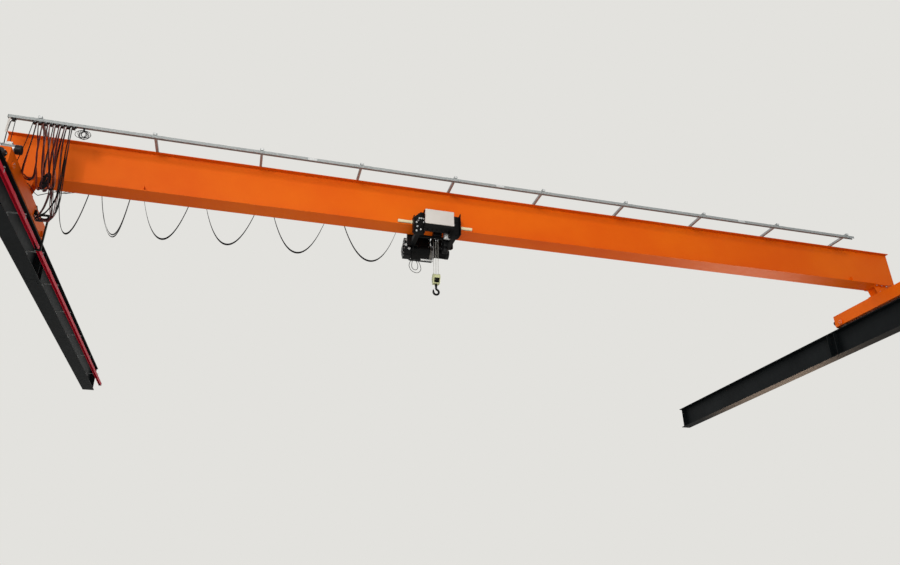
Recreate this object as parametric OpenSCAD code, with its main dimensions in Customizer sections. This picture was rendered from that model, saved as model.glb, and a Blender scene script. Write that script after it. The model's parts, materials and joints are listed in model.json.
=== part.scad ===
// Single girder overhead travelling crane on its runway beams, with a low headroom rope hoist.
// X runs along the girder, Y along the runway, Z is up. The origin lies on the underside of the
// left runway beam, below the rail centre, where the crane stands at rest.

/* [Span and runway] */
// Distance between the two rail centres
span = 19500; // [16500:500:22500]
// Length of one runway bay between columns
bay_length = 7500; // [6500:250:9000]
// Number of runway bays that are built
bay_count = 2; // [2:1:3]
// Distance from the crane at rest to the near end of the runway
near_run = 5800; // [3500:100:6200]
// Height of the runway beam
runway_beam_h = 650; // [500:10:800]
// Width of the runway beam flanges
runway_beam_w = 300; // [240:10:340]
// Thickness of the runway beam flanges
runway_flange_t = 20; // [12:1:30]
// Thickness of the runway beam web
runway_web_t = 12; // [8:1:16]
// Side of the square rail bar
rail_side = 50; // [40:5:60]

/* [Girder] */
// Distance from a rail centre to the girder's end
girder_overhang = 470; // [400:10:600]
// Overall height of the girder
girder_h = 920; // [700:10:1100]
// Distance over the outer faces of the webs
girder_web_spacing = 240; // [200:10:280]
// Thickness of the webs
girder_web_t = 6; // [5:1:10]
// Width of both flanges
girder_flange_w = 420; // [400:10:460]
// Thickness of the top flange
top_flange_t = 12; // [8:1:20]
// Thickness of the bottom flange
bottom_flange_t = 14; // [10:1:20]
// Distance between the inner diaphragms
diaphragm_pitch = 2000; // [1200:100:3000]

/* [End carriages] */
// Distance from a wheel axle to the carriage's end
carriage_end = 225; // [200:5:300]
// Width of an end carriage
carriage_w = 240; // [200:10:280]
// Height of an end carriage
carriage_h = 300; // [260:10:340]
// Wall of an end carriage
carriage_wall = 8; // [6:1:12]
// Distance between the wheel axles
wheel_base = 2450; // [2200:50:2600]
// Tread radius of the crane wheels
wheel_r = 100; // [90:5:110]
// How far the wheels stand out below the carriage
wheel_proud = 30; // [25:1:40]
// Height of the saddles between carriage and girder
saddle_h = 215; // [120:5:300]
// Length of a rubber buffer
buffer_length = 100; // [60:5:140]
// Diameter of a rubber buffer
buffer_d = 125; // [80:5:160]

/* [Festoon] */
// Distance from the girder centre to the near track
near_track_y = 740; // [600:10:900]
// Distance from the girder centre to the hoist cable track
far_track_y = 470; // [460:5:520]
// Distance from the right rail centre to the end of both tracks
track_end = 1250; // [1100:10:1600]
// Side of the square track profile
track_side = 60; // [50:2:70]
// Distance between the track arms
arm_pitch = 2000; // [1200:100:2500]
// Side of the square arm tubes
arm_side = 50; // [40:5:60]
// Sag of the hoist cable loops below their carriers
loop_sag = 1400; // [900:50:1600]
// Width of the flat cable bundle
cable_w = 50; // [30:5:56]
// Thickness of the flat cable bundle
cable_t = 18; // [8:1:20]
// Number of parked carriers on the near track
parked_count = 8; // [5:1:8]
// Distance between parked carriers
parked_pitch = 95; // [90:1:110]

/* [Hoist trolley] */
// Place of the trolley along the girder at rest
trolley_x = 7900; // [7900:50:9000]
// Length of the trolley side frames
trolley_length = 1020; // [960:20:1100]
// Tread radius of the trolley wheels
trolley_wheel_r = 65; // [55:5:70]
// Distance between the trolley wheel axles
trolley_wheel_base = 780; // [760:10:800]
// Width of the control box
box_w = 620; // [500:10:700]
// Height of the control box
box_h = 340; // [250:10:400]
// Depth of the control box
box_d = 120; // [100:10:260]
// Radius of the rope drum
drum_r = 150; // [130:5:160]
// Length of the grooved part of the drum
drum_length = 470; // [400:10:470]
// Diameter of the hoisting rope
rope_d = 10; // [8:1:12]
// Radius of the sheaves in the hook block
sheave_r = 90; // [85:5:100]
// Radius of the section of the hook
hook_section_r = 22; // [18:1:24]
// Inner radius of the hook's bowl
hook_bowl_r = 35; // [30:1:40]

/* [Hidden] */
$fn = 48;
facets_tube = 8;
running_gap = 0.3;
bearing_gap = 0.05;
// How far a cutter reaches past a face, and how far two fused pieces reach into each other
over = 1;
fuse = 1;

orange = "#E2620F";
dark_orange = "#C9540F";
black = "#16181A";
dark_grey = "#2A2F2D";
galvanised = "#B9BDBC";
light_grey = "#C9CBC8";
steel = "#8C8F90";
off_white = "#DAD7CD";
crimson = "#B81E36";
cream = "#D8D2B8";
lime = "#C9CF86";
cable_black = "#1A1A1C";

// Heights, from the seat of the runway beams upwards
rail_top = runway_beam_h + rail_side;
wheel_z = rail_top + wheel_r + running_gap;
carriage_bottom = rail_top + wheel_proud;
carriage_top = carriage_bottom + carriage_h;
girder_bottom = carriage_top + saddle_h;
girder_top = girder_bottom + girder_h;
flange_top = girder_bottom + bottom_flange_t;

// Runway
runway_near = -near_run;
runway_length = bay_count * bay_length;
joint_gap = 10;
seat_bolt_r = 13;
seat_bolt_x = 180;
seat_bolt_y = 100;
seat_bolt_end = 120;
stiffener_t = 12;
stiffener_inset = 10;
conductor_x = 290;
conductor_w = 60;
conductor_h = 80;
conductor_wall = 5;
conductor_bottom = 140;
conductor_top = conductor_bottom + conductor_h;
bracket_pitch = 1500;
bracket_w = 40;
bracket_t = 8;
hanger_w = 20;

// Girder
girder_length = span + 2 * girder_overhang;
girder_x0 = -girder_overhang;
girder_x1 = span + girder_overhang;
half_web = girder_web_spacing / 2;
flange_edge = girder_flange_w / 2;
end_plate_t = 10;
diaphragm_t = 6;
diaphragm_margin = 600;
diaphragm_count = floor((girder_length - diaphragm_margin) / diaphragm_pitch);

// Carriages
carriage_length = wheel_base + 2 * carriage_end;
half_carriage = carriage_length / 2;
carriage_side = carriage_w / 2;
wheel_y = wheel_base / 2;
wheel_tread_w = rail_side + 14;
wheel_flange_r = wheel_r + 15;
wheel_flange_t = 16;
axle_r = 25;
bearing_r = 65;
bearing_t = 25;
bearing_out = carriage_side + bearing_t;
carriage_end_t = 15;
slot_w = wheel_tread_w + 2 * wheel_flange_t + 14;
slot_l = 2 * wheel_flange_r + 16;
saddle_plate_t = 15;
saddle_flare = 60;
saddle_rib_t = 10;

// Motors: a mounting flange, a body with cooling fins, a neck and a fan cowl
fin_count = 24;
fin_h = 9;
fin_t = 4;
motor_flange_t = 12;
motor_flange_out = 12;
motor_neck = 12;
motor_neck_in = 10;
cowl_out = 2;
terminal_w = 90;
terminal_out = 38;
terminal_l = 100;

// Drive units of the bridge
gearcase_t = 110;
gearcase_r = 95;
gearcase_gap = 1;
gearcase_x = -bearing_out - gearcase_t;
drive_rise = 330;
drive_z = wheel_z + drive_rise;
drive_motor_r = 80;
drive_motor_l = 205;
drive_fan_l = 90;
drive_hub_r = 64;
drive_hub_l = 30;
drive_hole_x = 20;

// Festoon tracks and carriers
arm_bottom = girder_top;
arm_wall = 4;
arm_overhang = 20;
track_top = arm_bottom;
track_bottom = track_top - track_side;
track_wall = 4;
track_slot = 18;
near_track_x0 = -330;
far_track_x0 = 230;
track_x1 = span - track_end;
first_arm_x = 200;
arm_count = floor((track_x1 - first_arm_x - arm_side / 2) / arm_pitch) + 1;
carrier_length = 90;
carrier_body_h = 12;
carrier_gap = 5;
carrier_z = track_bottom - carrier_gap - carrier_body_h;
cheek_t = 4;
cheek_w = 40;
roller_r = 17;
roller_play = 2;
stem_t = 8;
stem_inset = 4;
cable_play = 1;
dome_steps = 16;
anchor_x = 350;
anchor_stem = 20;
tow_x = trolley_x - 500;
carrier_xs = [1100, 1850, 3030, 4370, 5830];
cable_stations = concat([anchor_x], carrier_xs, [tow_x]);
loop_steps = 20;
loop_sharpness = 1.8;
parked_x = 120;
parked_length = 74;
parked_cable_t = 12;
parked_drops = [1180, 1330, 1240, 1430, 1700, 1960, 1880];
parked_play = 3;
post_x = -230;
post_drop = 950;
coil_x = 960;
coil_r = 90;
coil_section_r = 16;
coil_hook_r = 8;
coil_hook_drop = 60;
coil_hook_half = 26;
coil_hook_side = 10;
coil_hook_t = 6;
coil_hook_z = track_bottom - coil_hook_drop;

// Control panel of the bridge, on the far side of the girder
panel_x = girder_x0 + 1070;
panel_w = 800;
panel_h = 640;
panel_d = 240;
panel_gap = 20;
panel_rise = 120;
panel_foot_w = 40;
panel_foot_in = 80;
panel_foot_over = 30;

// Arm of the current collector
collector_y = 500;
collector_w = 40;
collector_side = 30;
collector_plate_t = 12;
collector_plate_h = 140;
collector_plate_over = 20;
collector_plate_z = carriage_bottom + 60;
collector_arm_z = carriage_bottom + 100;
collector_out = conductor_x + conductor_w / 2 + 40;
collector_low = conductor_bottom - 60;
shoe_l = 160;
shoe_w = 36;
shoe_h = 41;
shoe_stem = 16;

// Trolley wheels and frames
wheel_web_gap = 30;
tread_inner = half_web + wheel_web_gap;
tread_over = 3;
trolley_wheel_z = flange_top + trolley_wheel_r + running_gap;
trolley_flange_r = trolley_wheel_r + 15;
trolley_flange_t = 12;
trolley_wheel_x = trolley_wheel_base / 2;
trolley_axle_r = 20;
axle_end = 30;
frame_y = flange_edge + trolley_flange_t + 13;
frame_t = 20;
frame_out = frame_y + frame_t;
frame_bottom = girder_bottom - 245;
frame_top = flange_top + 291;
frame_rib = 135;
frame_rib_t = 12;
frame_chamfer = 45;
near_cut = 170;
far_cut = 20;
far_rib = 50;
rib_out = frame_out + frame_rib;
truck_w = 240;
truck_notch = girder_bottom + 5;
half_trolley = trolley_length / 2;
half_window = half_trolley - truck_w;
cross_x = 390;
cross_w = 100;
cross_h = 110;
cross_z = frame_bottom + 10;
trolley_buffer_r = 35;
trolley_buffer_l = 300;
trolley_buffer_y = flange_edge - 10;
trolley_buffer_z = flange_top + 51;
left_stop_x = 2085;
right_stop_x = span - 885;
stop_l = 100;
stop_w = 90;
stop_h = 110;
stop_t = 14;
box_bottom = girder_bottom - 95;
box_shift = 15;
box_back_gap = 10;
box_front = -rib_out - box_back_gap - box_d;
shelf_h = 46;
shelf_inset = 20;

// Travel drive of the trolley
travel_motor_r = 65;
travel_motor_l = 150;
travel_fan_l = 58;
travel_case_w = 130;
travel_case_d = 120;
travel_case_h = 90;
travel_rise = 10;
travel_x = cross_x - cross_w / 2;
travel_motor_x = travel_x - 80;

// Rope drum and what drives it
hook_x = trolley_x + 60;
groove_pitch = rope_d + 2;
groove_h = 3;
groove_low = 2;
groove_margin = 24;
fall_dx = 2 * groove_pitch;
fall_y = sheave_r;
drum_y = 550;
drum_z = girder_bottom - 205;
drum_wall = 8;
drum_right = 57;
drum_x1 = hook_x + drum_right;
drum_x0 = drum_x1 - drum_length;
drum_flange_r = drum_r + 22;
drum_flange_t = 10;
drum_shaft_r = 30;
drum_gap = 8;
drum_play = 1;
drum_end = 15;
plate_t = 15;
plate_inset = 10;
plate_rise = 80;
plate_out = drum_y + drum_flange_r - plate_inset;
plate_low = drum_z - drum_flange_r + plate_inset;
tie_side = 30;
tie_y = plate_out - 52;
tie_z = plate_low - 12;
guard_r = 200;
guard_t = 6;
guard_rise = 235;
guard_clear = 5;
guard_step = 0.5;
gearbox_l = 160;
gearbox_r = 165;
pinion_r = 95;
pinion_y = drum_y - 75;
pinion_z = drum_z + 150;
gear_cover_r = 100;
gear_cover_t = 20;
sump_y = 90;
sump_drop = 175;
hoist_motor_r = 105;
hoist_motor_l = 245;
hoist_fan_l = 74;
lead_r = 7;
lead_x = drum_x0 - 2;
lead_span = 200;
lead_drops = [280, 215];
lead_ys = [tie_y + 7, tie_y + 23];
lead_exit = 6;
tow_side = 30;
tow_drop = 60;

// Sheaves, deflectors and rope anchor
sheave_w = 24;
sheave_rim = 6;
sheave_web_t = 10;
sheave_hub_r = 32;
sheave_rim_t = 20;
sheave_floor = 5.5;
sheave_mouth = 9;
deflector_r = 90;
deflector_y = fall_y + deflector_r;
deflector_z = drum_z + drum_r + rope_d / 2 + running_gap - deflector_r;
deflector_axle_r = 18;
deflector_cheek_t = 12;
deflector_cheek_gap = 15;
deflector_cheek_x = fall_dx + sheave_w / 2 + deflector_cheek_gap;
deflector_reach = 30;
anchor_beam_w = 40;
anchor_beam_z = cross_z + 30;
anchor_beam_h = 50;
knuckle = 0.2;

// Hook block
block_bottom = 20;
block_w = 140;
block_cheek_t = 12;
block_cheek_r = sheave_r + 7;
block_foot_w = 100;
block_foot_h = 10;
block_axis_z = block_bottom + sheave_r + 36;
block_cheek_z = block_axis_z + 6;
block_axle_r = 18;
block_bar_t = 14;

// Hook
bowl_z = -165;
shank_r = 20;
nut_r = 32;
nut_h = 10;
shank_end = 11;
hook_back_r = 40;
hook_collar_z = -22;
hook_collar_h = 24;
collar_out = 8;
neck_out = 6;
hook_tip_angle = 185;
hook_tip_l = 52;
hook_tip_r = 12;
hook_nose_l = 7;
hook_nose_r = 5;
hook_knuckle = 0.4;

// A straight bar with a rectangular section, given by its two opposite corners
module bar(low, high) {
    translate(low) cube(high - low);
}

// A cylinder along X that starts at the point
module rod_x(point, r, l) {
    translate(point) rotate([0, 90, 0]) cylinder(r = r, h = l);
}

// A cylinder along Y that starts at the point
module rod_y(point, r, l) {
    translate(point) rotate([-90, 0, 0]) cylinder(r = r, h = l);
}

// A flat outline in X and Z that is extruded along Y
module slab_y(y0, t) {
    translate([0, y0 + t, 0]) rotate([90, 0, 0]) linear_extrude(t) children();
}

// A flat outline in Y and Z that is extruded along X
module slab_x(x0, t) {
    translate([x0, 0, 0]) rotate([90, 0, 90]) linear_extrude(t) children();
}

// Unit vector across the line between two points
function across(a, b) = let (d = b - a) [-d[1], d[0]] / norm(d);

// Outline of a band of thickness t along a line of points
function band(points, t) = let (
    n = len(points) - 1,
    side = [for (i = [0 : n]) across(points[max(i - 1, 0)], points[min(i + 1, n)]) * t / 2])
    concat([for (i = [0 : n]) points[i] + side[i]],
        [for (i = [n : -1 : 0]) points[i] - side[i]]);

// Hyperbolic cosine
function hcos(v) = (exp(v) + exp(-v)) / 2;

// Inner points of the centre line of a hanging loop, as a catenary
function loop_line(x0, x1, z, sag) = let (
    mid = (x0 + x1) / 2,
    half = (x1 - x0) / 2,
    rise = hcos(loop_sharpness) - 1)
    [for (i = [1 : loop_steps - 1]) let (u = 2 * i / loop_steps - 1)
        [mid + half * u, z - sag * (1 - (hcos(loop_sharpness * u) - 1) / rise)]];

// The same line with its two ends, which leave their seat straight down
function lead_line(x0, x1, z, sag) = concat([[x0, z], [x0, z - lead_exit]],
    loop_line(x0, x1, z - lead_exit, sag), [[x1, z - lead_exit], [x1, z]]);

// Centre line of a narrow loop with a round bottom of the given radius
function drop_line(x, z, r, sag) = [for (i = [0 : dome_steps])
    let (a = 180 + 180 * i / dome_steps) [x + r * cos(a), z - sag + r + r * sin(a)]];

// Centre line of a cable that lies over a carrier's dome, from left to right
function dome_line(x, z, r) = [for (i = [0 : dome_steps])
    let (a = 180 - 180 * i / dome_steps) [x + r * cos(a), z + r * sin(a)]];

// Height of the middle of a carrier's dome
function dome_height(length) = carrier_z - length / 2 - running_gap;

// Rings of a round tube along a line of points that lies in one plane of constant Y
module tube_in_plane(points, y, r) {
    n = len(points) - 1;
    rings = [for (i = [0 : n]) let (s = across(points[max(i - 1, 0)], points[min(i + 1, n)]))
        [for (k = [0 : facets_tube - 1]) let (a = 360 * k / facets_tube)
            [points[i][0] + s[0] * r * cos(a), y + r * sin(a), points[i][1] + s[1] * r * cos(a)]]];
    polyhedron(points = [for (ring = rings) each ring],
        faces = concat(
            [[for (k = [0 : facets_tube - 1]) k]],
            [[for (k = [facets_tube - 1 : -1 : 0]) n * facets_tube + k]],
            [for (i = [0 : n - 1]) for (k = [0 : facets_tube - 1])
                let (a = i * facets_tube + k, b = i * facets_tube + (k + 1) % facets_tube)
                [a, a + facets_tube, b + facets_tube, b]]));
}

// Motor that stands on its flange and points up: finned body, neck, fan cowl and terminal box
module motor(r, body_l, fan_l) {
    cylinder(r = r + motor_flange_out, h = motor_flange_t);
    translate([0, 0, motor_flange_t - fuse]) linear_extrude(body_l + fuse) {
        circle(r = r - fin_h);
        for (k = [0 : fin_count - 1])
            rotate(360 * k / fin_count) translate([0, -fin_t / 2]) square([r, fin_t]);
    }
    translate([0, 0, motor_flange_t + body_l - fuse])
        cylinder(r = r - motor_neck_in, h = motor_neck + 2 * fuse);
    translate([0, 0, motor_flange_t + body_l + motor_neck])
        cylinder(r = r + cowl_out, h = fan_l);
    translate([-terminal_w / 2, 0, motor_flange_t + (body_l - terminal_l) / 2])
        cube([terminal_w, r + terminal_out, terminal_l]);
}

// Rope sheave with its axis along X and a groove for the rope
module sheave(x, y, z, r) {
    rim = r + sheave_rim;
    floor_r = r - rope_d / 2 - running_gap;
    half = sheave_w / 2;
    web = sheave_web_t / 2;
    translate([x, y, z]) rotate([0, 90, 0]) rotate_extrude() polygon([
        [0, -half], [sheave_hub_r, -half], [sheave_hub_r, -web], [rim - sheave_rim_t, -web],
        [rim - sheave_rim_t, -half], [rim, -half], [rim, -sheave_mouth], [floor_r, -sheave_floor],
        [floor_r, sheave_floor], [rim, sheave_mouth], [rim, half], [rim - sheave_rim_t, half],
        [rim - sheave_rim_t, web], [sheave_hub_r, web], [sheave_hub_r, half], [0, half]]);
}

// Runway

// Section of a rolled beam with its underside on the X axis
module beam_section() {
    translate([-runway_beam_w / 2, 0]) square([runway_beam_w, runway_flange_t]);
    translate([-runway_web_t / 2, 0]) square([runway_web_t, runway_beam_h]);
    translate([-runway_beam_w / 2, runway_beam_h - runway_flange_t])
        square([runway_beam_w, runway_flange_t]);
}

// One runway beam with stiffeners over its seats and four bolt holes at each end
module runway_beam(x, y0, length) {
    half = runway_beam_w / 2 - stiffener_inset;
    half_t = stiffener_t / 2;
    low = runway_flange_t / 2;
    difference() {
        translate([x, y0, 0]) union() {
            translate([0, length, 0]) rotate([90, 0, 0]) linear_extrude(length) beam_section();
            for (y = [seat_bolt_end, length - seat_bolt_end])
                bar([-half, y - half_t, low], [half, y + half_t, runway_beam_h - low]);
        }
        for (y = [seat_bolt_end, length - seat_bolt_end], dx = [-0.5, 0.5], dy = [-0.5, 0.5])
            translate([x + dx * seat_bolt_x, y0 + y + dy * seat_bolt_y, -over])
                cylinder(r = seat_bolt_r, h = runway_flange_t + 2 * over);
    }
}

module runway_line(x) {
    for (i = [0 : bay_count - 1])
        runway_beam(x, runway_near + i * bay_length + joint_gap / 2, bay_length - joint_gap);
}

module rail(x) {
    bar([x - rail_side / 2, runway_near, runway_beam_h],
        [x + rail_side / 2, runway_near + runway_length, rail_top]);
}

module left_runway_beams() {
    color(dark_grey) runway_line(0);
}

module right_runway_beams() {
    color(dark_grey) runway_line(span);
}

module left_rail() {
    color(steel) rail(0);
}

module right_rail() {
    color(steel) rail(span);
}

// Closed housing with the conductors inside, open along its underside
module conductor_rail() {
    inner_w = conductor_w - 2 * conductor_wall;
    color(crimson) translate([conductor_x, runway_near + runway_length, conductor_bottom])
        rotate([90, 0, 0]) linear_extrude(runway_length) difference() {
            translate([-conductor_w / 2, 0]) square([conductor_w, conductor_h]);
            translate([-inner_w / 2, -over]) square([inner_w, conductor_h - conductor_wall + over]);
        }
}

// Angle brackets from the beam web with a hanger to the housing
module conductor_rail_brackets() {
    web = runway_web_t / 2;
    arm_z = conductor_top + bracket_w;
    first = runway_near + bracket_pitch / 2;
    color(galvanised) for (y = [first : bracket_pitch : runway_near + runway_length]) {
        bar([web, y, arm_z], [conductor_x + conductor_w / 2, y + bracket_w, arm_z + bracket_t]);
        bar([web, y, conductor_top - bracket_w], [web + bracket_t, y + bracket_w, arm_z + bracket_t]);
        bar([conductor_x - hanger_w / 2, y, conductor_top],
            [conductor_x + hanger_w / 2, y + bracket_w, arm_z]);
    }
}

// Bridge

// Box girder of four plates with end plates and inner diaphragms
module main_girder() {
    inner_high = girder_top - top_flange_t;
    inner_y = half_web - girder_web_t;
    color(orange) {
        bar([girder_x0, -flange_edge, girder_bottom], [girder_x1, flange_edge, flange_top]);
        bar([girder_x0, -flange_edge, inner_high], [girder_x1, flange_edge, girder_top]);
        for (y = [-half_web, inner_y])
            bar([girder_x0, y, flange_top], [girder_x1, y + girder_web_t, inner_high]);
        for (x = [girder_x0, girder_x1 - end_plate_t])
            bar([x, -inner_y, flange_top], [x + end_plate_t, inner_y, inner_high]);
        for (i = [1 : diaphragm_count])
            translate([girder_x0 + i * girder_length / (diaphragm_count + 1), 0, 0])
                bar([0, -inner_y, flange_top], [diaphragm_t, inner_y, inner_high]);
    }
}

// Hollow box with a slot for each wheel, bearing bosses and end plates for the buffers
module end_carriage(x) {
    inner_x = carriage_side - carriage_wall;
    inner_y = half_carriage - carriage_end_t;
    translate([x, 0, 0]) difference() {
        union() {
            bar([-carriage_side, -half_carriage, carriage_bottom],
                [carriage_side, half_carriage, carriage_top]);
            for (y = [-wheel_y, wheel_y])
                rod_x([-bearing_out, y, wheel_z], bearing_r, 2 * bearing_out);
        }
        bar([-inner_x, -inner_y, carriage_bottom + carriage_wall],
            [inner_x, inner_y, carriage_top - carriage_wall]);
        for (y = [-wheel_y, wheel_y]) {
            translate([-slot_w / 2, y - slot_l / 2, carriage_bottom - over])
                cube([slot_w, slot_l, carriage_wall + 2 * over]);
            rod_x([-bearing_out - over, y, wheel_z], axle_r + bearing_gap, 2 * (bearing_out + over));
        }
    }
}

module left_end_carriage() {
    color(orange) end_carriage(0);
}

module right_end_carriage() {
    color(dark_orange) end_carriage(span);
}

// Pedestals between the carriages and the girder, with ribs in line with the webs
module girder_saddles() {
    top_side = carriage_side + saddle_flare;
    low = carriage_top;
    high = girder_bottom;
    rib_x = carriage_side / 2;
    color(orange) for (x = [0, span]) translate([x, 0, 0]) {
        bar([-carriage_side, -flange_edge, low], [carriage_side, flange_edge, low + saddle_plate_t]);
        bar([-top_side, -flange_edge, high - saddle_plate_t], [top_side, flange_edge, high]);
        for (y = [-half_web, half_web - saddle_plate_t])
            slab_y(y, saddle_plate_t) polygon([[-carriage_side, low + fuse], [carriage_side, low + fuse],
                [top_side, high - fuse], [-top_side, high - fuse]]);
        for (x = [-rib_x, rib_x])
            bar([x - saddle_rib_t / 2, -half_web, low + fuse], [x + saddle_rib_t / 2, half_web, high - fuse]);
    }
}

// Gear case on the outer side of the carriage, its motor lying over the carriage
module drive_unit() {
    case_l = gearcase_t - gearcase_gap;
    motor_x = gearcase_x + gearcase_t + drive_hub_l;
    translate([0, -wheel_y, 0]) {
        difference() {
            union() {
                rod_x([gearcase_x, 0, wheel_z], gearcase_r, case_l);
                rod_x([gearcase_x, 0, drive_z], gearcase_r, case_l);
                bar([gearcase_x, -gearcase_r, wheel_z], [gearcase_x + case_l, gearcase_r, drive_z]);
                rod_x([gearcase_x + case_l - fuse, 0, drive_z], drive_hub_r,
                    drive_hub_l + gearcase_gap + 2 * fuse);
            }
            rod_x([gearcase_x + drive_hole_x, 0, wheel_z], axle_r + bearing_gap, gearcase_t);
        }
        translate([motor_x, 0, drive_z]) rotate([0, 90, 0]) rotate(90)
            motor(drive_motor_r, drive_motor_l, drive_fan_l);
    }
}

module left_drive_unit() {
    color(steel) drive_unit();
}

module right_drive_unit() {
    color(steel) translate([span, 0, 0]) mirror([1, 0, 0]) drive_unit();
}

module carriage_buffers() {
    z = carriage_bottom + carriage_h / 2;
    color(crimson) for (x = [0, span], y = [half_carriage, -half_carriage - buffer_length])
        rod_y([x, y, z], buffer_d / 2, buffer_length);
}

// Stop of one side of the web: a foot and a plate that the trolley buffer meets
module end_stop(x, plate_x, s) {
    translate([x, s * (half_web + stop_w / 2) - stop_w / 2, flange_top]) {
        cube([stop_l, stop_w, stop_t]);
        translate([plate_x, 0, 0]) cube([stop_t, stop_w, stop_h]);
    }
}

// Stops on the bottom flange, on both sides of the webs
module trolley_end_stops() {
    color(dark_orange) for (s = [-1, 1]) {
        end_stop(left_stop_x - stop_l, stop_l - stop_t, s);
        end_stop(right_stop_x, 0, s);
    }
}

// Profile of a track: square tube with a slot along its underside
module track_section() {
    inner = track_side - 2 * track_wall;
    difference() {
        translate([-track_side / 2, -track_side]) square(track_side);
        translate([-inner / 2, -track_side + track_wall]) square(inner);
        translate([-track_slot / 2, -track_side - over]) square([track_slot, track_wall + 2 * over]);
    }
}

module track(x0, x1, y) {
    translate([x0, y, track_top]) rotate([90, 0, 90]) linear_extrude(x1 - x0) track_section();
}

module near_festoon_track() {
    color(galvanised) track(near_track_x0, track_x1, -near_track_y);
}

module hoist_festoon_track() {
    color(galvanised) track(far_track_x0, track_x1, far_track_y);
}

// Arms across the top flange that carry both tracks
module festoon_arms() {
    near = -near_track_y - track_side / 2 - arm_overhang;
    far = far_track_y + track_side / 2 + arm_overhang;
    half = arm_side / 2;
    inner = half - arm_wall;
    color(galvanised) for (i = [0 : arm_count - 1])
        translate([first_arm_x + i * arm_pitch, 0, arm_bottom]) difference() {
            bar([-half, near, 0], [half, far, arm_side]);
            bar([-inner, near - over, arm_wall], [inner, far + over, arm_side - arm_wall]);
        }
}

// Carrier with two rollers in the track and a dome between two cheeks that the cable lies over
module carrier(x, y, length, thickness) {
    floor_z = track_bottom + track_wall;
    roller_half = track_side / 2 - track_wall - roller_play;
    translate([x, y, 0]) {
        for (dx = [-1, 1])
            rod_y([dx * (length / 2 - roller_r), -roller_half, floor_z + roller_r + running_gap],
                roller_r, 2 * roller_half);
        bar([-length / 2 + stem_inset, -stem_t / 2, carrier_z],
            [length / 2 - stem_inset, stem_t / 2, floor_z + roller_r]);
        clamp(length, thickness);
    }
}

// Lower half of a carrier: body plate, two cheeks and the dome
module clamp(length, thickness) {
    dome_z = dome_height(length);
    half = cable_w / 2 + cable_play;
    bar([-length / 2, -half - cheek_t, carrier_z], [length / 2, half + cheek_t, carrier_z + carrier_body_h]);
    for (y = [-half - cheek_t, half])
        bar([-cheek_w / 2, y, dome_z], [cheek_w / 2, y + cheek_t, carrier_z + fuse]);
    slab_y(-half - fuse, 2 * (half + fuse)) intersection() {
        translate([0, dome_z]) circle(r = length / 2 - thickness - running_gap);
        translate([-length / 2, dome_z]) square([length, length]);
    }
}

// Clamp that hangs on a short stem below the track and doesn't roll
module fixed_clamp(x, y, length, thickness) {
    translate([x, y, 0]) {
        clamp(length, thickness);
        bar([-anchor_stem, -anchor_stem, carrier_z + fuse], [anchor_stem, anchor_stem, track_bottom]);
    }
}

module parked_cable_carriers() {
    y = -near_track_y;
    left = coil_x - coil_hook_side;
    right = coil_x + coil_hook_side;
    color(dark_grey) {
        for (i = [0 : parked_count - 1])
            carrier(parked_x + i * parked_pitch, y, parked_length, parked_cable_t);
        fixed_clamp(post_x, y, parked_length, parked_cable_t);
        fixed_clamp(anchor_x, far_track_y, carrier_length, cable_t);
        for (side_y = [y - coil_hook_half, y + coil_hook_half])
            bar([left, side_y - coil_hook_t / 2, coil_hook_z - coil_hook_side],
                [right, side_y + coil_hook_t / 2, track_bottom]);
        bar([left, y - coil_hook_half, track_bottom - coil_hook_t],
            [right, y + coil_hook_half, track_bottom]);
        rod_y([coil_x, y - coil_hook_half, coil_hook_z], coil_hook_r, 2 * coil_hook_half);
    }
}

module cable_band(points, y, thickness) {
    slab_y(y - cable_w / 2, cable_w) polygon(band(points, thickness));
}

// Flat cable over the parked carriers, with a loop between each two, and a spare coil
module parked_cables() {
    z = dome_height(parked_length);
    r = (parked_length - parked_cable_t) / 2;
    low_r = (parked_pitch - parked_cable_t) / 2 - parked_play;
    coil_z = coil_hook_z + coil_hook_r + coil_section_r - coil_r + running_gap;
    last = parked_count - 1;
    color(cable_black) {
        cable_band(concat(
            dome_line(post_x, z, r),
            loop_line(post_x + r, parked_x - r, z, post_drop),
            [for (i = [0 : last]) each concat(
                dome_line(parked_x + i * parked_pitch, z, r),
                i < last ? drop_line(parked_x + (i + 0.5) * parked_pitch, z, low_r, parked_drops[i]) : [])]),
            -near_track_y, parked_cable_t);
        translate([coil_x, -near_track_y, coil_z]) rotate([90, 0, 0])
            rotate_extrude() translate([coil_r, 0]) circle(r = coil_section_r);
    }
}

// Cabinet on two feet that stand on the girder's far web
module bridge_control_panel() {
    low = flange_top + panel_rise;
    near = half_web + panel_gap;
    color(light_grey) {
        bar([panel_x, near, low], [panel_x + panel_w, near + panel_d, low + panel_h]);
        for (x = [panel_x + panel_foot_in, panel_x + panel_w - panel_foot_in - panel_foot_w])
            bar([x, half_web, low - panel_foot_over],
                [x + panel_foot_w, near + fuse, low + panel_h + panel_foot_over]);
    }
}

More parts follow.
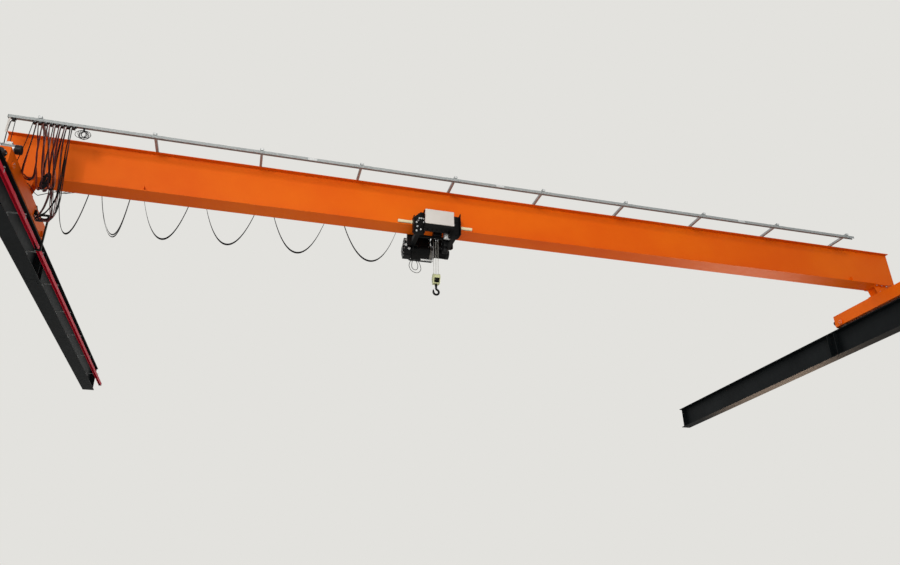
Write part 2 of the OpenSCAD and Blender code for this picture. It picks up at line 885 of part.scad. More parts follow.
// Arm from the carriage that carries the shoe in the conductor housing
module current_collector() {
    y1 = collector_y + collector_w;
    mid_y = collector_y + collector_w / 2;
    shoe_z = conductor_bottom + collector_plate_over;
    side = collector_side;
    plate_x = carriage_side + collector_plate_t;
    plate_top = collector_plate_z + collector_plate_h;
    color(dark_grey) {
        bar([carriage_side, collector_y - collector_plate_over, collector_plate_z],
            [plate_x, y1 + collector_plate_over, plate_top]);
        bar([plate_x - fuse, collector_y, collector_arm_z],
            [collector_out + side, y1, collector_arm_z + side]);
        bar([collector_out, collector_y, collector_low], [collector_out + side, y1, collector_arm_z + fuse]);
        bar([conductor_x - side / 2, collector_y, collector_low],
            [collector_out + fuse, y1, collector_low + side]);
        bar([conductor_x - shoe_stem / 2, mid_y - side / 2, collector_low + side - fuse],
            [conductor_x + shoe_stem / 2, mid_y + side / 2, shoe_z]);
        bar([conductor_x - shoe_w / 2, mid_y - shoe_l / 2, shoe_z - fuse],
            [conductor_x + shoe_w / 2, mid_y + shoe_l / 2, shoe_z - fuse + shoe_h]);
    }
}

// Flat cable over the carriers of the hoist, from the fixed clamp to the tow arm
module hoist_festoon_cable() {
    z = dome_height(carrier_length);
    r = (carrier_length - cable_t) / 2;
    last = len(cable_stations) - 1;
    color(cable_black) cable_band(
        [for (i = [0 : last]) each concat(
            dome_line(cable_stations[i], z, r),
            i < last ? loop_line(cable_stations[i] + r, cable_stations[i + 1] - r, z, loop_sag) : [])],
        far_track_y, cable_t);
}

// Wheels of the bridge: a tread between two flanges, on an axle that a drive unit may take
module crane_wheel(x, y, drive_side) {
    half_tread = wheel_tread_w / 2;
    plain = bearing_out - fuse;
    driven = bearing_out + gearcase_t - drive_hole_x - 2 * over;
    left = drive_side < 0 ? driven : plain;
    right = drive_side > 0 ? driven : plain;
    translate([x, y, wheel_z]) {
        rod_x([-half_tread, 0, 0], wheel_r, wheel_tread_w);
        for (x0 = [-half_tread - wheel_flange_t, half_tread])
            rod_x([x0, 0, 0], wheel_flange_r, wheel_flange_t);
        rod_x([-left, 0, 0], axle_r, left + right);
    }
}

module left_front_wheel() {
    color(steel) crane_wheel(0, -wheel_y, -1);
}

module left_rear_wheel() {
    color(steel) crane_wheel(0, wheel_y, 0);
}

module right_front_wheel() {
    color(steel) crane_wheel(span, -wheel_y, 1);
}

module right_rear_wheel() {
    color(steel) crane_wheel(span, wheel_y, 0);
}

// Hoist trolley

// Side plate with two trucks, seen along Y, relative to the trolley's middle. Its top left corner is cut.
module side_outline(cut) {
    low = frame_bottom;
    in = frame_chamfer;
    polygon([[-half_trolley, low + in], [-half_trolley + in, low], [-half_window, low],
        [-half_window, truck_notch], [half_window, truck_notch], [half_window, low],
        [half_trolley - in, low], [half_trolley, low + in],
        [half_trolley, frame_top], [-half_trolley + cut, frame_top], [-half_trolley, frame_top - cut]]);
}

// Side frame on the near side (s = -1) or the far side (s = 1), with two ribs on each truck
module side_frame(s) {
    y0 = s < 0 ? -frame_out : frame_y;
    cut = s < 0 ? near_cut : far_cut;
    rib = s < 0 ? frame_rib : far_rib;
    rib_y = s < 0 ? -rib_out : frame_out - fuse;
    low = frame_bottom + frame_chamfer;
    difference() {
        union() {
            slab_y(y0, frame_t) side_outline(cut);
            for (end = [[-half_trolley, frame_top - cut], [half_trolley - frame_rib_t, frame_top]])
                bar([end[0], rib_y, low], [end[0] + frame_rib_t, rib_y + rib + fuse, end[1]]);
            for (x = [-half_window - frame_rib_t, half_window])
                bar([x, rib_y, frame_bottom], [x + frame_rib_t, rib_y + rib + fuse, frame_top]);
        }
        for (x = [-trolley_wheel_x, trolley_wheel_x])
            rod_y([x, y0 - over, trolley_wheel_z], trolley_axle_r + bearing_gap, frame_t + 2 * over);
    }
}

// Near frame with the shelf that the control box stands on
module trolley_near_frame() {
    color(black) translate([trolley_x, 0, 0]) {
        side_frame(-1);
        bar([box_shift - box_w / 2, box_front + shelf_inset, box_bottom - shelf_h],
            [box_shift + box_w / 2, -rib_out, box_bottom]);
        bar([-half_window - fuse, -rib_out - fuse, box_bottom - shelf_h],
            [half_window + fuse, -frame_out + fuse, box_bottom]);
    }
}

// Far frame with the plates that hold the drum and the arm that tows the cable
module trolley_far_frame() {
    plates = [drum_x0 - plate_t - drum_gap, drum_x1 + drum_gap];
    color(black) difference() {
        union() {
            translate([trolley_x, 0, 0]) side_frame(1);
            for (x = plates)
                bar([x, frame_out - fuse, plate_low],
                    [x + plate_t, plate_out, drum_z + drum_flange_r + plate_rise]);
            bar([drum_x0 - drum_gap - fuse, tie_y, tie_z],
                [drum_x1 + drum_gap + fuse, tie_y + tie_side, tie_z + tie_side]);
            bar([tow_x - tow_side / 2, frame_out - fuse, frame_top - tow_drop],
                [tow_x + tow_side / 2, far_track_y + tow_side / 2, frame_top - tow_drop + tow_side]);
            bar([tow_x - tow_side / 2, far_track_y - tow_side / 2, frame_top - tow_drop + tow_side - fuse],
                [tow_x + tow_side / 2, far_track_y + tow_side / 2, dome_height(carrier_length) + fuse]);
            translate([tow_x, far_track_y, 0]) clamp(carrier_length, cable_t);
        }
        for (x = plates)
            rod_x([x - over, drum_y, drum_z], drum_shaft_r + bearing_gap, plate_t + 2 * over);
    }
}

// Two beams below the girder, with the rope anchor and the deflector sheaves between them
module trolley_cross_beams() {
    axle_x = hook_x - deflector_cheek_x - fuse;
    color(black) {
        for (x = [trolley_x - cross_x, trolley_x + cross_x])
            bar([x - cross_w / 2, -frame_y, cross_z], [x + cross_w / 2, frame_y, cross_z + cross_h]);
        bar([trolley_x - cross_x, -fall_y - anchor_beam_w / 2, anchor_beam_z],
            [trolley_x + cross_x, -fall_y + anchor_beam_w / 2, anchor_beam_z + anchor_beam_h]);
        for (x = [hook_x - deflector_cheek_x - deflector_cheek_t, hook_x + deflector_cheek_x])
            bar([x, -fall_y, anchor_beam_z],
                [x + deflector_cheek_t, deflector_y + deflector_reach, deflector_z + deflector_reach]);
        rod_x([axle_x, deflector_y, deflector_z], deflector_axle_r, 2 * (deflector_cheek_x + fuse));
        for (dx = [-fall_dx, fall_dx])
            sheave(hook_x + dx, deflector_y, deflector_z, deflector_r);
    }
}

module control_box() {
    x = trolley_x + box_shift;
    color(off_white) bar([x - box_w / 2, box_front, box_bottom],
        [x + box_w / 2, box_front + box_d, box_bottom + box_h]);
}

// Travel gear case on the right cross beam, with its motor hanging below it
module trolley_drive_unit() {
    low = cross_z + travel_rise;
    color(light_grey) translate([trolley_x, 0, 0]) {
        bar([travel_x - travel_case_w, -travel_case_d / 2, low],
            [travel_x, travel_case_d / 2, low + travel_case_h]);
        translate([travel_motor_x, 0, low + fuse]) rotate([180, 0, 0])
            motor(travel_motor_r, travel_motor_l, travel_fan_l);
    }
}

module trolley_buffers() {
    ends = [trolley_x - half_trolley - trolley_buffer_l, trolley_x + half_trolley];
    color(cream) for (y = [-trolley_buffer_y, trolley_buffer_y], x = ends)
        rod_x([x, y, trolley_buffer_z], trolley_buffer_r, trolley_buffer_l);
}

// Guard from the left plate to the rope falls: a wall on the near side that turns in under the drum
module drum_guard() {
    x0 = drum_x0 - drum_gap;
    x1 = hook_x - fall_dx - rope_d / 2 - guard_clear;
    near = drum_y - guard_r;
    color(black) {
        difference() {
            rod_x([x0, drum_y, drum_z], guard_r, x1 - x0);
            rod_x([x0 - over, drum_y, drum_z], guard_r - guard_t, x1 - x0 + 2 * over);
            translate([x0 - over, near - over, drum_z])
                cube([x1 - x0 + 2 * over, 2 * (guard_r + over), guard_r + over]);
            translate([x0 - over, tie_y, drum_z - guard_r - over])
                cube([x1 - x0 + 2 * over, guard_r, guard_r + 2 * over]);
        }
        bar([x0, near + guard_step, drum_z - fuse], [x1, near + guard_t - guard_step, drum_z + guard_rise]);
    }
}

// Gear case round the drum's axis and the pinion above it, with a cover and an oil sump
module hoist_gearbox() {
    x1 = drum_x0 - plate_t - drum_gap;
    x0 = x1 - gearbox_l;
    color(steel) {
        slab_x(x0, gearbox_l) hull() {
            translate([drum_y, drum_z]) circle(r = gearbox_r);
            translate([pinion_y, pinion_z]) circle(r = pinion_r);
        }
        bar([x0, drum_y - sump_y, drum_z - sump_drop], [x1, drum_y + sump_y, drum_z]);
        rod_x([x0 - gear_cover_t, drum_y, drum_z], gear_cover_r, gear_cover_t + fuse);
    }
}

module hoist_motor() {
    color(light_grey) translate([drum_x1 + drum_gap + plate_t, drum_y, drum_z])
        rotate([0, 90, 0]) rotate(90) motor(hoist_motor_r, hoist_motor_l, hoist_fan_l);
}

// Supply leads that hang in loops below the tie bar of the drum plates
module hoist_lead_cables() {
    z = tie_z - running_gap;
    color(cable_black) for (i = [0, 1])
        tube_in_plane(lead_line(lead_x, lead_x + lead_span, z, lead_drops[i]), lead_ys[i], lead_r);
}

// Four falls, and the two runs from the drum over the deflector sheaves
module hoist_ropes() {
    r = rope_d / 2;
    top = drum_z + drum_r + r + running_gap;
    color(steel) for (x = [hook_x - fall_dx, hook_x + fall_dx]) {
        translate([x, -fall_y, block_axis_z]) cylinder(r = r, h = anchor_beam_z - running_gap - block_axis_z);
        translate([x, fall_y, block_axis_z]) cylinder(r = r, h = deflector_z - block_axis_z);
        translate([x, deflector_y, deflector_z]) rotate([90, 0, 90]) rotate([0, 0, 90])
            rotate_extrude(angle = 90) translate([deflector_r, 0]) circle(r = r);
        rod_y([x, deflector_y, top], r, drum_y - deflector_y);
        for (place = [[x, fall_y, deflector_z], [x, deflector_y, top]])
            translate(place) sphere(r = r + knuckle);
    }
}

// Outline of the grooves: radius and place along the drum
function groove_line(first, last) = [for (k = [first : last]) let (x = k * groove_pitch)
    each [[drum_r + groove_h, x - groove_pitch / 2], [drum_r, x - groove_low], [drum_r, x + groove_low]]];

// Hollow drum with a groove for each turn of rope, end flanges and a shaft
module rope_drum() {
    x0 = drum_x0 + drum_play;
    length = drum_length - 2 * drum_play;
    first = -floor((hook_x - drum_x0 - groove_margin) / groove_pitch);
    last = floor((drum_x1 - groove_margin - hook_x) / groove_pitch);
    low = x0 - hook_x;
    high = x0 + length - hook_x;
    groove_end = (last + 0.5) * groove_pitch;
    shaft_x0 = drum_x0 - drum_gap - plate_t + over;
    hollow = drum_length - 2 * drum_end;
    color(steel) difference() {
        union() {
            translate([hook_x, drum_y, drum_z]) rotate([0, 90, 0]) rotate_extrude() polygon(concat(
                [[0, low], [drum_r, low], [drum_r, (first - 0.5) * groove_pitch]],
                groove_line(first, last),
                [[drum_r + groove_h, groove_end], [drum_r, groove_end], [drum_r, high], [0, high]]));
            for (x = [x0, x0 + length - drum_flange_t])
                rod_x([x, drum_y, drum_z], drum_flange_r, drum_flange_t);
            rod_x([shaft_x0, drum_y, drum_z], drum_shaft_r, drum_x1 + drum_gap + plate_t - over - shaft_x0);
        }
        difference() {
            rod_x([drum_x0 + drum_end, drum_y, drum_z], drum_r - drum_wall, hollow);
            rod_x([drum_x0 + drum_end - over, drum_y, drum_z], drum_shaft_r, hollow + 2 * over);
        }
    }
}

// Wheel on the bottom flange: tread, outer guide flange and axle stub
module trolley_wheel(x, s) {
    tread = flange_edge + tread_over - tread_inner;
    turn = s < 0 ? 180 : 0;
    translate([trolley_x + x, 0, trolley_wheel_z]) rotate([0, 0, turn]) {
        rod_y([0, tread_inner, 0], trolley_wheel_r, tread);
        rod_y([0, flange_edge + tread_over, 0], trolley_flange_r, trolley_flange_t);
        rod_y([0, tread_inner, 0], trolley_axle_r, frame_out + axle_end - tread_inner);
    }
}

module near_left_trolley_wheel() {
    color(steel) trolley_wheel(-trolley_wheel_x, -1);
}

module near_right_trolley_wheel() {
    color(steel) trolley_wheel(trolley_wheel_x, -1);
}

module far_left_trolley_wheel() {
    color(steel) trolley_wheel(-trolley_wheel_x, 1);
}

module far_right_trolley_wheel() {
    color(steel) trolley_wheel(trolley_wheel_x, 1);
}

module hoist_carrier(i) {
    color(dark_grey) carrier(carrier_xs[i], far_track_y, carrier_length, cable_t);
}

module cable_carrier_1() {
    hoist_carrier(0);
}

module cable_carrier_2() {
    hoist_carrier(1);
}

module cable_carrier_3() {
    hoist_carrier(2);
}

module cable_carrier_4() {
    hoist_carrier(3);
}

module cable_carrier_5() {
    hoist_carrier(4);
}

// Block with two cheeks, two sheaves on a pin and a cross bar that the hook turns in
module hook_block() {
    half = block_w / 2;
    foot = block_foot_w / 2;
    color(lime) translate([hook_x, 0, 0]) difference() {
        union() {
            for (x = [-half, half - block_cheek_t])
                slab_x(x, block_cheek_t) hull() {
                    translate([0, block_cheek_z]) circle(r = block_cheek_r);
                    translate([-foot, block_bottom]) square([block_foot_w, block_foot_h]);
                }
            rod_x([-half, 0, block_axis_z], block_axle_r, block_w);
            for (x = [-fall_dx, fall_dx])
                sheave(x, 0, block_axis_z, sheave_r);
            bar([-half + fuse, -foot, block_bottom], [half - fuse, foot, block_bottom + block_bar_t]);
        }
        translate([0, 0, block_bottom - over])
            cylinder(r = shank_r + bearing_gap, h = block_bar_t + 2 * over);
    }
}

// Part of a ring in the X and Z plane, from angle a0 on
module ring_arc(x, z, ring_r, section_r, a0, sweep) {
    translate([x, 0, z]) rotate([90, 0, 0]) rotate([0, 0, a0])
        rotate_extrude(angle = sweep) translate([ring_r, 0]) circle(r = section_r);
}

// Forged hook: shank, reversed curve, bowl and tapered tip
module hook() {
    ring_r = hook_bowl_r + hook_section_r;
    turn = acos(hook_back_r / (ring_r + hook_back_r));
    back_z = bowl_z + (ring_r + hook_back_r) * sin(turn);
    tip = [ring_r * cos(hook_tip_angle), 0, bowl_z + ring_r * sin(hook_tip_angle)];
    lean = hook_tip_angle - 180;
    knuckle_r = hook_section_r + hook_knuckle;
    bar_top = block_bottom + block_bar_t;
    shank_z = hook_collar_z + hook_collar_h / 2;
    color(black) translate([hook_x, 0, 0]) {
        ring_arc(0, bowl_z, ring_r, hook_section_r, hook_tip_angle - 360, 360 - hook_tip_angle + turn);
        ring_arc(hook_back_r, back_z, hook_back_r, hook_section_r, 180, turn);
        for (place = [[0, 0, back_z], tip, [ring_r * cos(turn), 0, bowl_z + ring_r * sin(turn)]])
            translate(place) sphere(r = knuckle_r);
        translate([0, 0, back_z]) cylinder(r = hook_section_r, h = hook_collar_z - back_z + fuse);
        translate([0, 0, hook_collar_z])
            cylinder(r1 = hook_section_r + collar_out, r2 = shank_r + neck_out, h = hook_collar_h);
        translate([0, 0, shank_z]) cylinder(r = shank_r, h = bar_top + shank_end - shank_z);
        translate([0, 0, bar_top + running_gap]) cylinder(r = nut_r, h = nut_h);
        translate(tip) rotate([0, -lean, 0]) {
            cylinder(r1 = hook_section_r, r2 = hook_tip_r, h = hook_tip_l);
            translate([0, 0, hook_tip_l]) cylinder(r1 = hook_tip_r, r2 = hook_nose_r, h = hook_nose_l);
        }
    }
}

left_runway_beams();
right_runway_beams();
left_rail();
right_rail();
conductor_rail();
conductor_rail_brackets();
main_girder();
left_end_carriage();
right_end_carriage();
girder_saddles();
left_drive_unit();
right_drive_unit();
carriage_buffers();
trolley_end_stops();
near_festoon_track();
hoist_festoon_track();
festoon_arms();
parked_cable_carriers();
parked_cables();
bridge_control_panel();
current_collector();
hoist_festoon_cable();
left_front_wheel();
left_rear_wheel();
right_front_wheel();
right_rear_wheel();
trolley_near_frame();
trolley_far_frame();
trolley_cross_beams();
control_box();
trolley_drive_unit();
trolley_buffers();
drum_guard();
hoist_gearbox();
hoist_motor();
hoist_lead_cables();
hoist_ropes();
rope_drum();
near_left_trolley_wheel();
near_right_trolley_wheel();
far_left_trolley_wheel();
far_right_trolley_wheel();
cable_carrier_1();
cable_carrier_2();
cable_carrier_3();
cable_carrier_4();
cable_carrier_5();
hook_block();
hook();
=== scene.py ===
# %% [markdown]
# # An overhead bridge crane
#
# A single girder crane that runs on two runway beams, with a low headroom rope hoist below it.
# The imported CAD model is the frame: every piece here goes where the CAD solids say, in metres,
# with X along the girder, Y along the runway and Z up. Blender adds what the solids leave out:
# the finishes, bolts, cables, ropes and small fittings.

# %% Load the frame
import json
import math
from itertools import product

import bpy
from mathutils import Matrix, Vector


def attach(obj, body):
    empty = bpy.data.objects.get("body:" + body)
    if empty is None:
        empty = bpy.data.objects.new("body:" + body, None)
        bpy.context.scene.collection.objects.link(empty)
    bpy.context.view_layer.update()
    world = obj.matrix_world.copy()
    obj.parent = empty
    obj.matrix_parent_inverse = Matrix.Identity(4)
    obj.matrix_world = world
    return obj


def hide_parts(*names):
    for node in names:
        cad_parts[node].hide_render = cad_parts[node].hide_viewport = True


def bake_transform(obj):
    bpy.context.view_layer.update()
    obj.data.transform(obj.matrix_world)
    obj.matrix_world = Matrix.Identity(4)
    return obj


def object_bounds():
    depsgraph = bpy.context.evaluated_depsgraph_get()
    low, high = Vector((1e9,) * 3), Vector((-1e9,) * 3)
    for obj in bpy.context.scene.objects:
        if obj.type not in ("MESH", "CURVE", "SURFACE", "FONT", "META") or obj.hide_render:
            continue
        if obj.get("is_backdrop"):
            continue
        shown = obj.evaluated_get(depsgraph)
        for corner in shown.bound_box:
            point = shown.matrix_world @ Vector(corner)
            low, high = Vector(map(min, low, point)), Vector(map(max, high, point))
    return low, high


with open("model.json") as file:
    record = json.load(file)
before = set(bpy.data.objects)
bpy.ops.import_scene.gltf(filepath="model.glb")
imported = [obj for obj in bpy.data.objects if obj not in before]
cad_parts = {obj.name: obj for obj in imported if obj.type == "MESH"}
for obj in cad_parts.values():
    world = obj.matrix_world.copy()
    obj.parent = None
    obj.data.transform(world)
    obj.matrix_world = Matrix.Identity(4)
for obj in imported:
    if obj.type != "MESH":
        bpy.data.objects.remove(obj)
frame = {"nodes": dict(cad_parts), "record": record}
cad_box = [list(map(float, corner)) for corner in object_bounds()]
print("CAD nodes:", len(frame["nodes"]), "box:", cad_box)

# %% [markdown]
# ## Camera
#
# The view is from below, up to the crane. The three rows are the camera's right, down and forward
# directions, found from the long edges of the girder and the runway beams.

# %% Camera
camera_place = (4.41, -13.41, -6.63)
right = (0.96291357, -0.26943556, -0.01421068)
down = (0.10463839, 0.42146817, -0.90078599)
ahead = (0.24869312, 0.86589206, 0.43403072)
camera_data = bpy.data.cameras.new("hall_camera")
camera_data.sensor_fit = "HORIZONTAL"
camera_data.sensor_width = 36.0
camera_data.lens = 29.63
camera_data.clip_end = 300.0
camera = bpy.data.objects.new("hall_camera", camera_data)
bpy.context.scene.collection.objects.link(camera)
rows = [(right[i], -down[i], -ahead[i], camera_place[i]) for i in range(3)]
camera.matrix_world = Matrix(rows + [(0, 0, 0, 1)])
bpy.context.scene.camera = camera
bpy.context.scene.view_settings.view_transform = "Standard"
print("camera at", camera_place, "lens", camera_data.lens)

# %% [markdown]
# ## Colours and nodes
#
# Paint cards and screens name colours in sRGB, while a shader takes linear numbers, so one
# function turns one into the other. The others set a shader node's inputs, add a node, mix two
# colours, spread a value over a range and turn a height into a relief.

# %% Colour and node helpers
def linear(code):
    """Turns an sRGB hex colour into the linear numbers that a shader takes."""
    parts = [int(code[i:i + 2], 16) / 255 for i in (1, 3, 5)]
    return tuple(c / 12.92 if c <= 0.04045 else ((c + 0.055) / 1.055) ** 2.4 for c in parts) + (1.0,)


def wire(tree, node, inputs):
    """Sets a node's inputs: another node's output is linked, and a number or colour is a value."""
    for key, value in inputs.items():
        if isinstance(value, bpy.types.NodeSocket):
            tree.links.new(value, node.inputs[key])
        else:
            node.inputs[key].default_value = value


def add(tree, kind, inputs=None, **settings):
    """Adds one node with its settings and its inputs."""
    node = tree.nodes.new("ShaderNode" + kind)
    for key, value in settings.items():
        setattr(node, key, value)
    wire(tree, node, inputs or {})
    return node


def mix(tree, factor, a, b):
    """Mixes two colours by a factor. Each is a hex code or a link."""
    a, b = (linear(colour) if isinstance(colour, str) else colour for colour in (a, b))
    return add(tree, "Mix", {"Factor": factor, "A": a, "B": b}, data_type="RGBA").outputs["Result"]


def between(tree, value, low, high):
    """Spreads a value from 0 to 1 over the range from low to high."""
    return add(tree, "MapRange", {"Value": value, "To Min": low, "To Max": high}).outputs["Result"]


def bumps(tree, height, strength, distance):
    """Turns a height into a relief for a shader. The distance is its depth in metres."""
    relief = add(tree, "Bump", {"Height": height, "Strength": strength, "Distance": distance})
    return relief.outputs["Normal"]


def new_material(name):
    """Starts a material: its node tree, its Principled shader and its Object coordinates."""
    material = bpy.data.materials.new(name)
    material.use_nodes = True
    tree = material.node_tree
    shader = tree.nodes["Principled BSDF"]
    place = add(tree, "TexCoord").outputs["Object"]
    return material, tree, shader, place


print("orange as linear:", [round(c, 3) for c in linear("#E2620F")])

# %% [markdown]
# ## Floor, light and background
#
# The crane hangs eight metres over a plain pale floor. The background is a pale grey that only
# the camera and reflections see, so the light on the object stays at a plain level. The sky light
# is stronger from the left and falls off along the girder. A wide lamp near the floor stands for
# the light that a pale floor throws up to the undersides.

# %% Floor
floor_z = -8.23
bpy.ops.object.select_all(action="DESELECT")
bpy.ops.mesh.primitive_plane_add(size=160, location=(9, 0, floor_z))
floor = bpy.context.object
floor.name = "hall_floor"
bpy.ops.object.transform_apply()
floor_material, tree, shader, place = new_material("sealed_concrete")
cloud = add(tree, "TexNoise", {"Vector": place, "Scale": 0.35, "Detail": 6.0})
wire(tree, shader, {"Base Color": mix(tree, cloud.outputs["Fac"], "#D3D1CB", "#E0DED9"), "Roughness": 0.7})
floor.data.materials.append(floor_material)
floor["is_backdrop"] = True
print("floor at", floor_z)

# %% World and lamps
world = bpy.data.worlds.new("pale_hall")
bpy.context.scene.world = world
world.use_nodes = True
tree = world.node_tree
tree.nodes.clear()
rays = add(tree, "LightPath").outputs
seen = add(tree, "Math", {0: rays["Is Camera Ray"], 1: rays["Is Glossy Ray"]}, operation="MAXIMUM")
seen = add(tree, "Math", {0: seen.outputs[0], 1: rays["Is Transmission Ray"]}, operation="MAXIMUM")
aim = add(tree, "SeparateXYZ", {"Vector": add(tree, "TexCoord").outputs["Generated"]})
level = add(tree, "MapRange", {"Value": aim.outputs["X"], "From Min": -1.0, "To Min": 0.66, "To Max": 0.24})
soft = add(tree, "Background", {"Color": linear("#F1F3F6"), "Strength": level.outputs["Result"]})
pale = add(tree, "Background", {"Color": linear("#E3E2DE"), "Strength": 1.0})
both = add(tree, "MixShader", {"Fac": seen.outputs[0], 1: soft.outputs[0], 2: pale.outputs[0]})
add(tree, "OutputWorld", {"Surface": both.outputs[0]})


def lamp(name, place, target, size, power, tint, fan=math.pi):
    """A large soft area lamp that looks at a point of the crane. Its light fans out by an angle."""
    data = bpy.data.lights.new(name, "AREA")
    data.shape = "SQUARE"
    data.size = size
    data.energy = power
    data.spread = fan
    data.color = linear(tint)[:3]
    lamp_object = bpy.data.objects.new(name, data)
    bpy.context.scene.collection.objects.link(lamp_object)
    lamp_object.location = place
    lamp_object.rotation_euler = (Vector(target) - Vector(place)).to_track_quat("-Z", "Y").to_euler()
    lamp_object.visible_camera = False
    return lamp_object


lamp("key_lamp", (-4.0, -34.0, 4.0), (9.0, 0.0, 1.6), 13.0, 2050.0, "#FFFBF6", fan=math.radians(85))
lamp("roof_lamp", (12.0, 4.0, 14.0), (10.0, 0.0, 1.0), 14.0, 900.0, "#F4F7FF")
lamp("window_lamp", (22.0, 7.5, -3.2), (14.5, 0.0, 1.25), 4.0, 90.0, "#FFDDC0", fan=math.radians(90))
lamp("floor_bounce", (8.5, 0.0, -7.9), (8.5, 0.0, 0.0), 13.0, 250.0, "#FFF1E2")
print("lamps placed")

# %% [markdown]
# ## Paints
#
# Painted steel has three scales: a slow fading over metres, a faint orange peel of a few
# millimetres from the spray gun, and dust that settles on what faces up.

# %% Painted steel
def paint(name, colour, faded, dust, roughness=0.42, patch=1.6, peel=0.004, shine=0.5):
    """Sprayed or brushed paint on steel. The patch and peel sizes are in metres."""
    dust_cover = 0.35
    material, tree, shader, place = new_material(name)
    slow = add(tree, "TexNoise", {"Vector": place, "Scale": 1 / patch, "Detail": 5.0, "Roughness": 0.6})
    level = add(tree, "MapRange", {"Value": slow.outputs["Fac"], "From Min": 0.35, "From Max": 0.68})
    base = mix(tree, level.outputs["Result"], colour, faded)
    facing = add(tree, "SeparateXYZ", {"Vector": add(tree, "NewGeometry").outputs["Normal"]})
    lying = add(tree, "MapRange", {"Value": facing.outputs["Z"], "From Min": 0.3, "From Max": 0.95,
                                   "To Max": dust_cover})
    grains = add(tree, "TexNoise", {"Vector": place, "Scale": 9.0, "Detail": 8.0}).outputs["Fac"]
    settled = add(tree, "Math", {0: lying.outputs["Result"], 1: grains}, operation="MULTIPLY")
    skin = add(tree, "TexNoise", {"Vector": place, "Scale": 1 / peel, "Detail": 2.0})
    wire(tree, shader, {"Base Color": mix(tree, settled.outputs[0], base, dust),
                        "Roughness": between(tree, grains, roughness - 0.06, roughness + 0.12),
                        "Specular IOR Level": shine,
                        "Normal": bumps(tree, skin.outputs["Fac"], 0.12, 0.0004)})
    return material


# Satin polyurethane topcoat in crane orange: bright, with wide patches a shade lighter.
girder_orange = paint("satin_orange_topcoat", "#DA5803", "#E26606", "#8F7F70",
                      roughness=0.44, patch=2.2, shine=0.12)
# Dark grey structural primer on the rolled beams: dull, with a green cast and pale dust on top.
runway_grey = paint("structural_primer_grey", "#0B0F11", "#15191B", "#5C5C57",
                    roughness=0.5, patch=1.2, shine=0.1)
# Black satin enamel on the trolley's plates and other dark steel: it swallows nearly all light.
frame_black = paint("black_enamel", "#08090A", "#0F1011", "#454440", patch=0.4, shine=0.1)
# Off-white powder coat of the control box: even, slightly warm.
box_white = paint("off_white_powder_coat", "#C6C1BC", "#D0CCC7", "#A09D92",
                  roughness=0.4, patch=0.5, peel=0.003, shine=0.35)
# Light grey powder coat of the cabinet on the bridge.
panel_grey = paint("light_grey_powder_coat", "#B9BCB8", "#C3C6C2", "#98958C", patch=0.6, peel=0.003)
# Pale yellow green machine paint on the hook block.
block_lime = paint("yellow_green_machine_paint", "#B4B888", "#C6CA9C", "#8B8A6E",
                   roughness=0.4, patch=0.15, shine=0.3)
# Black machine enamel on the hoist's gear case and motor, the travel drive and the switch boxes.
machine_black = paint("black_machine_enamel", "#08090A", "#101113", "#454440",
                      roughness=0.38, patch=0.3, shine=0.12)
print("paints made")

# %% [markdown]
# ## Bare metals
#
# Each metal is told by the size of its grain: zinc spangles of a centimetre, long scratches of
# rolling on a rail, fine marks on a turned wheel, and a rough skin on castings.

# %% Bare metals
def metal(name, dark, bright, roughness, grain, stretch=(1, 1, 1), metallic=1.0, spangles=False, relief=0.15):
    """Metal with a grain of the given size in metres, which may be stretched along an axis."""
    material, tree, shader, place = new_material(name)
    drawn = add(tree, "Mapping", {"Vector": place, "Scale": tuple(1 / s for s in stretch)}).outputs["Vector"]
    if spangles:
        pattern = add(tree, "TexVoronoi", {"Vector": drawn, "Scale": 1 / grain}, feature="F1")
        value = add(tree, "SeparateColor", {"Color": pattern.outputs["Color"]}).outputs[0]
    else:
        value = add(tree, "TexNoise", {"Vector": drawn, "Scale": 1 / grain, "Detail": 6.0}).outputs["Fac"]
    tone = add(tree, "MapRange", {"Value": value, "From Min": 0.25, "From Max": 0.75})
    wire(tree, shader, {"Base Color": mix(tree, tone.outputs["Result"], dark, bright),
                        "Metallic": metallic,
                        "Roughness": between(tree, value, roughness - 0.08, roughness + 0.1),
                        "Normal": bumps(tree, value, relief, 0.0006)})
    return material


# Hot dip galvanised steel: flat grey with crystals, a centimetre wide.
galvanised = metal("hot_dip_galvanised", "#8B9091", "#A3A8A8", 0.55, 0.012, metallic=0.3, spangles=True)
# Rolled rail bar: brown mill scale with a bright worn running surface.
rail_steel = metal("rolled_rail_steel", "#5B5148", "#8A857E", 0.42, 0.02, stretch=(1, 12, 1), metallic=0.85)
# Turned steel of wheels, drum and axles.
machined_steel = metal("turned_steel", "#6E6E70", "#9C9C9E", 0.34, 0.004)
# Cast aluminium housings of the bridge drives: pale, with a sandy skin of 6 mm.
cast_grey = metal("cast_aluminium", "#A3A6A7", "#C2C5C5", 0.42, 0.006, metallic=0.7, relief=0.3)
# Zinc plated bolts: small and bright.
zinc_bolt = metal("zinc_plated_steel", "#B5B8BC", "#DADCDD", 0.28, 0.01)
# Passivated zinc, matt and pale: sheet parts, the conduit, the largest bolts and a gear head.
zinc_sheet = metal("passivated_zinc_sheet", "#B9BDBE", "#D9DBDB", 0.5, 0.03, metallic=0.35)
# Greased wire rope: dull grey with dark grease between the wires.
rope_steel = metal("greased_wire_rope", "#6A6864", "#B4B2AD", 0.45, 0.003, metallic=0.6, relief=0.3)
# Bare copper of the strip that slides on the conductors.
copper = metal("bare_copper", "#A55C38", "#C9835C", 0.35, 0.01, stretch=(1, 6, 1))
print("metals made")

# %% [markdown]
# ## Rubber and plastics
#
# Cable sheaths are dull, mouldings are smoother, and the cellular buffers have a fine skin of
# closed pores.

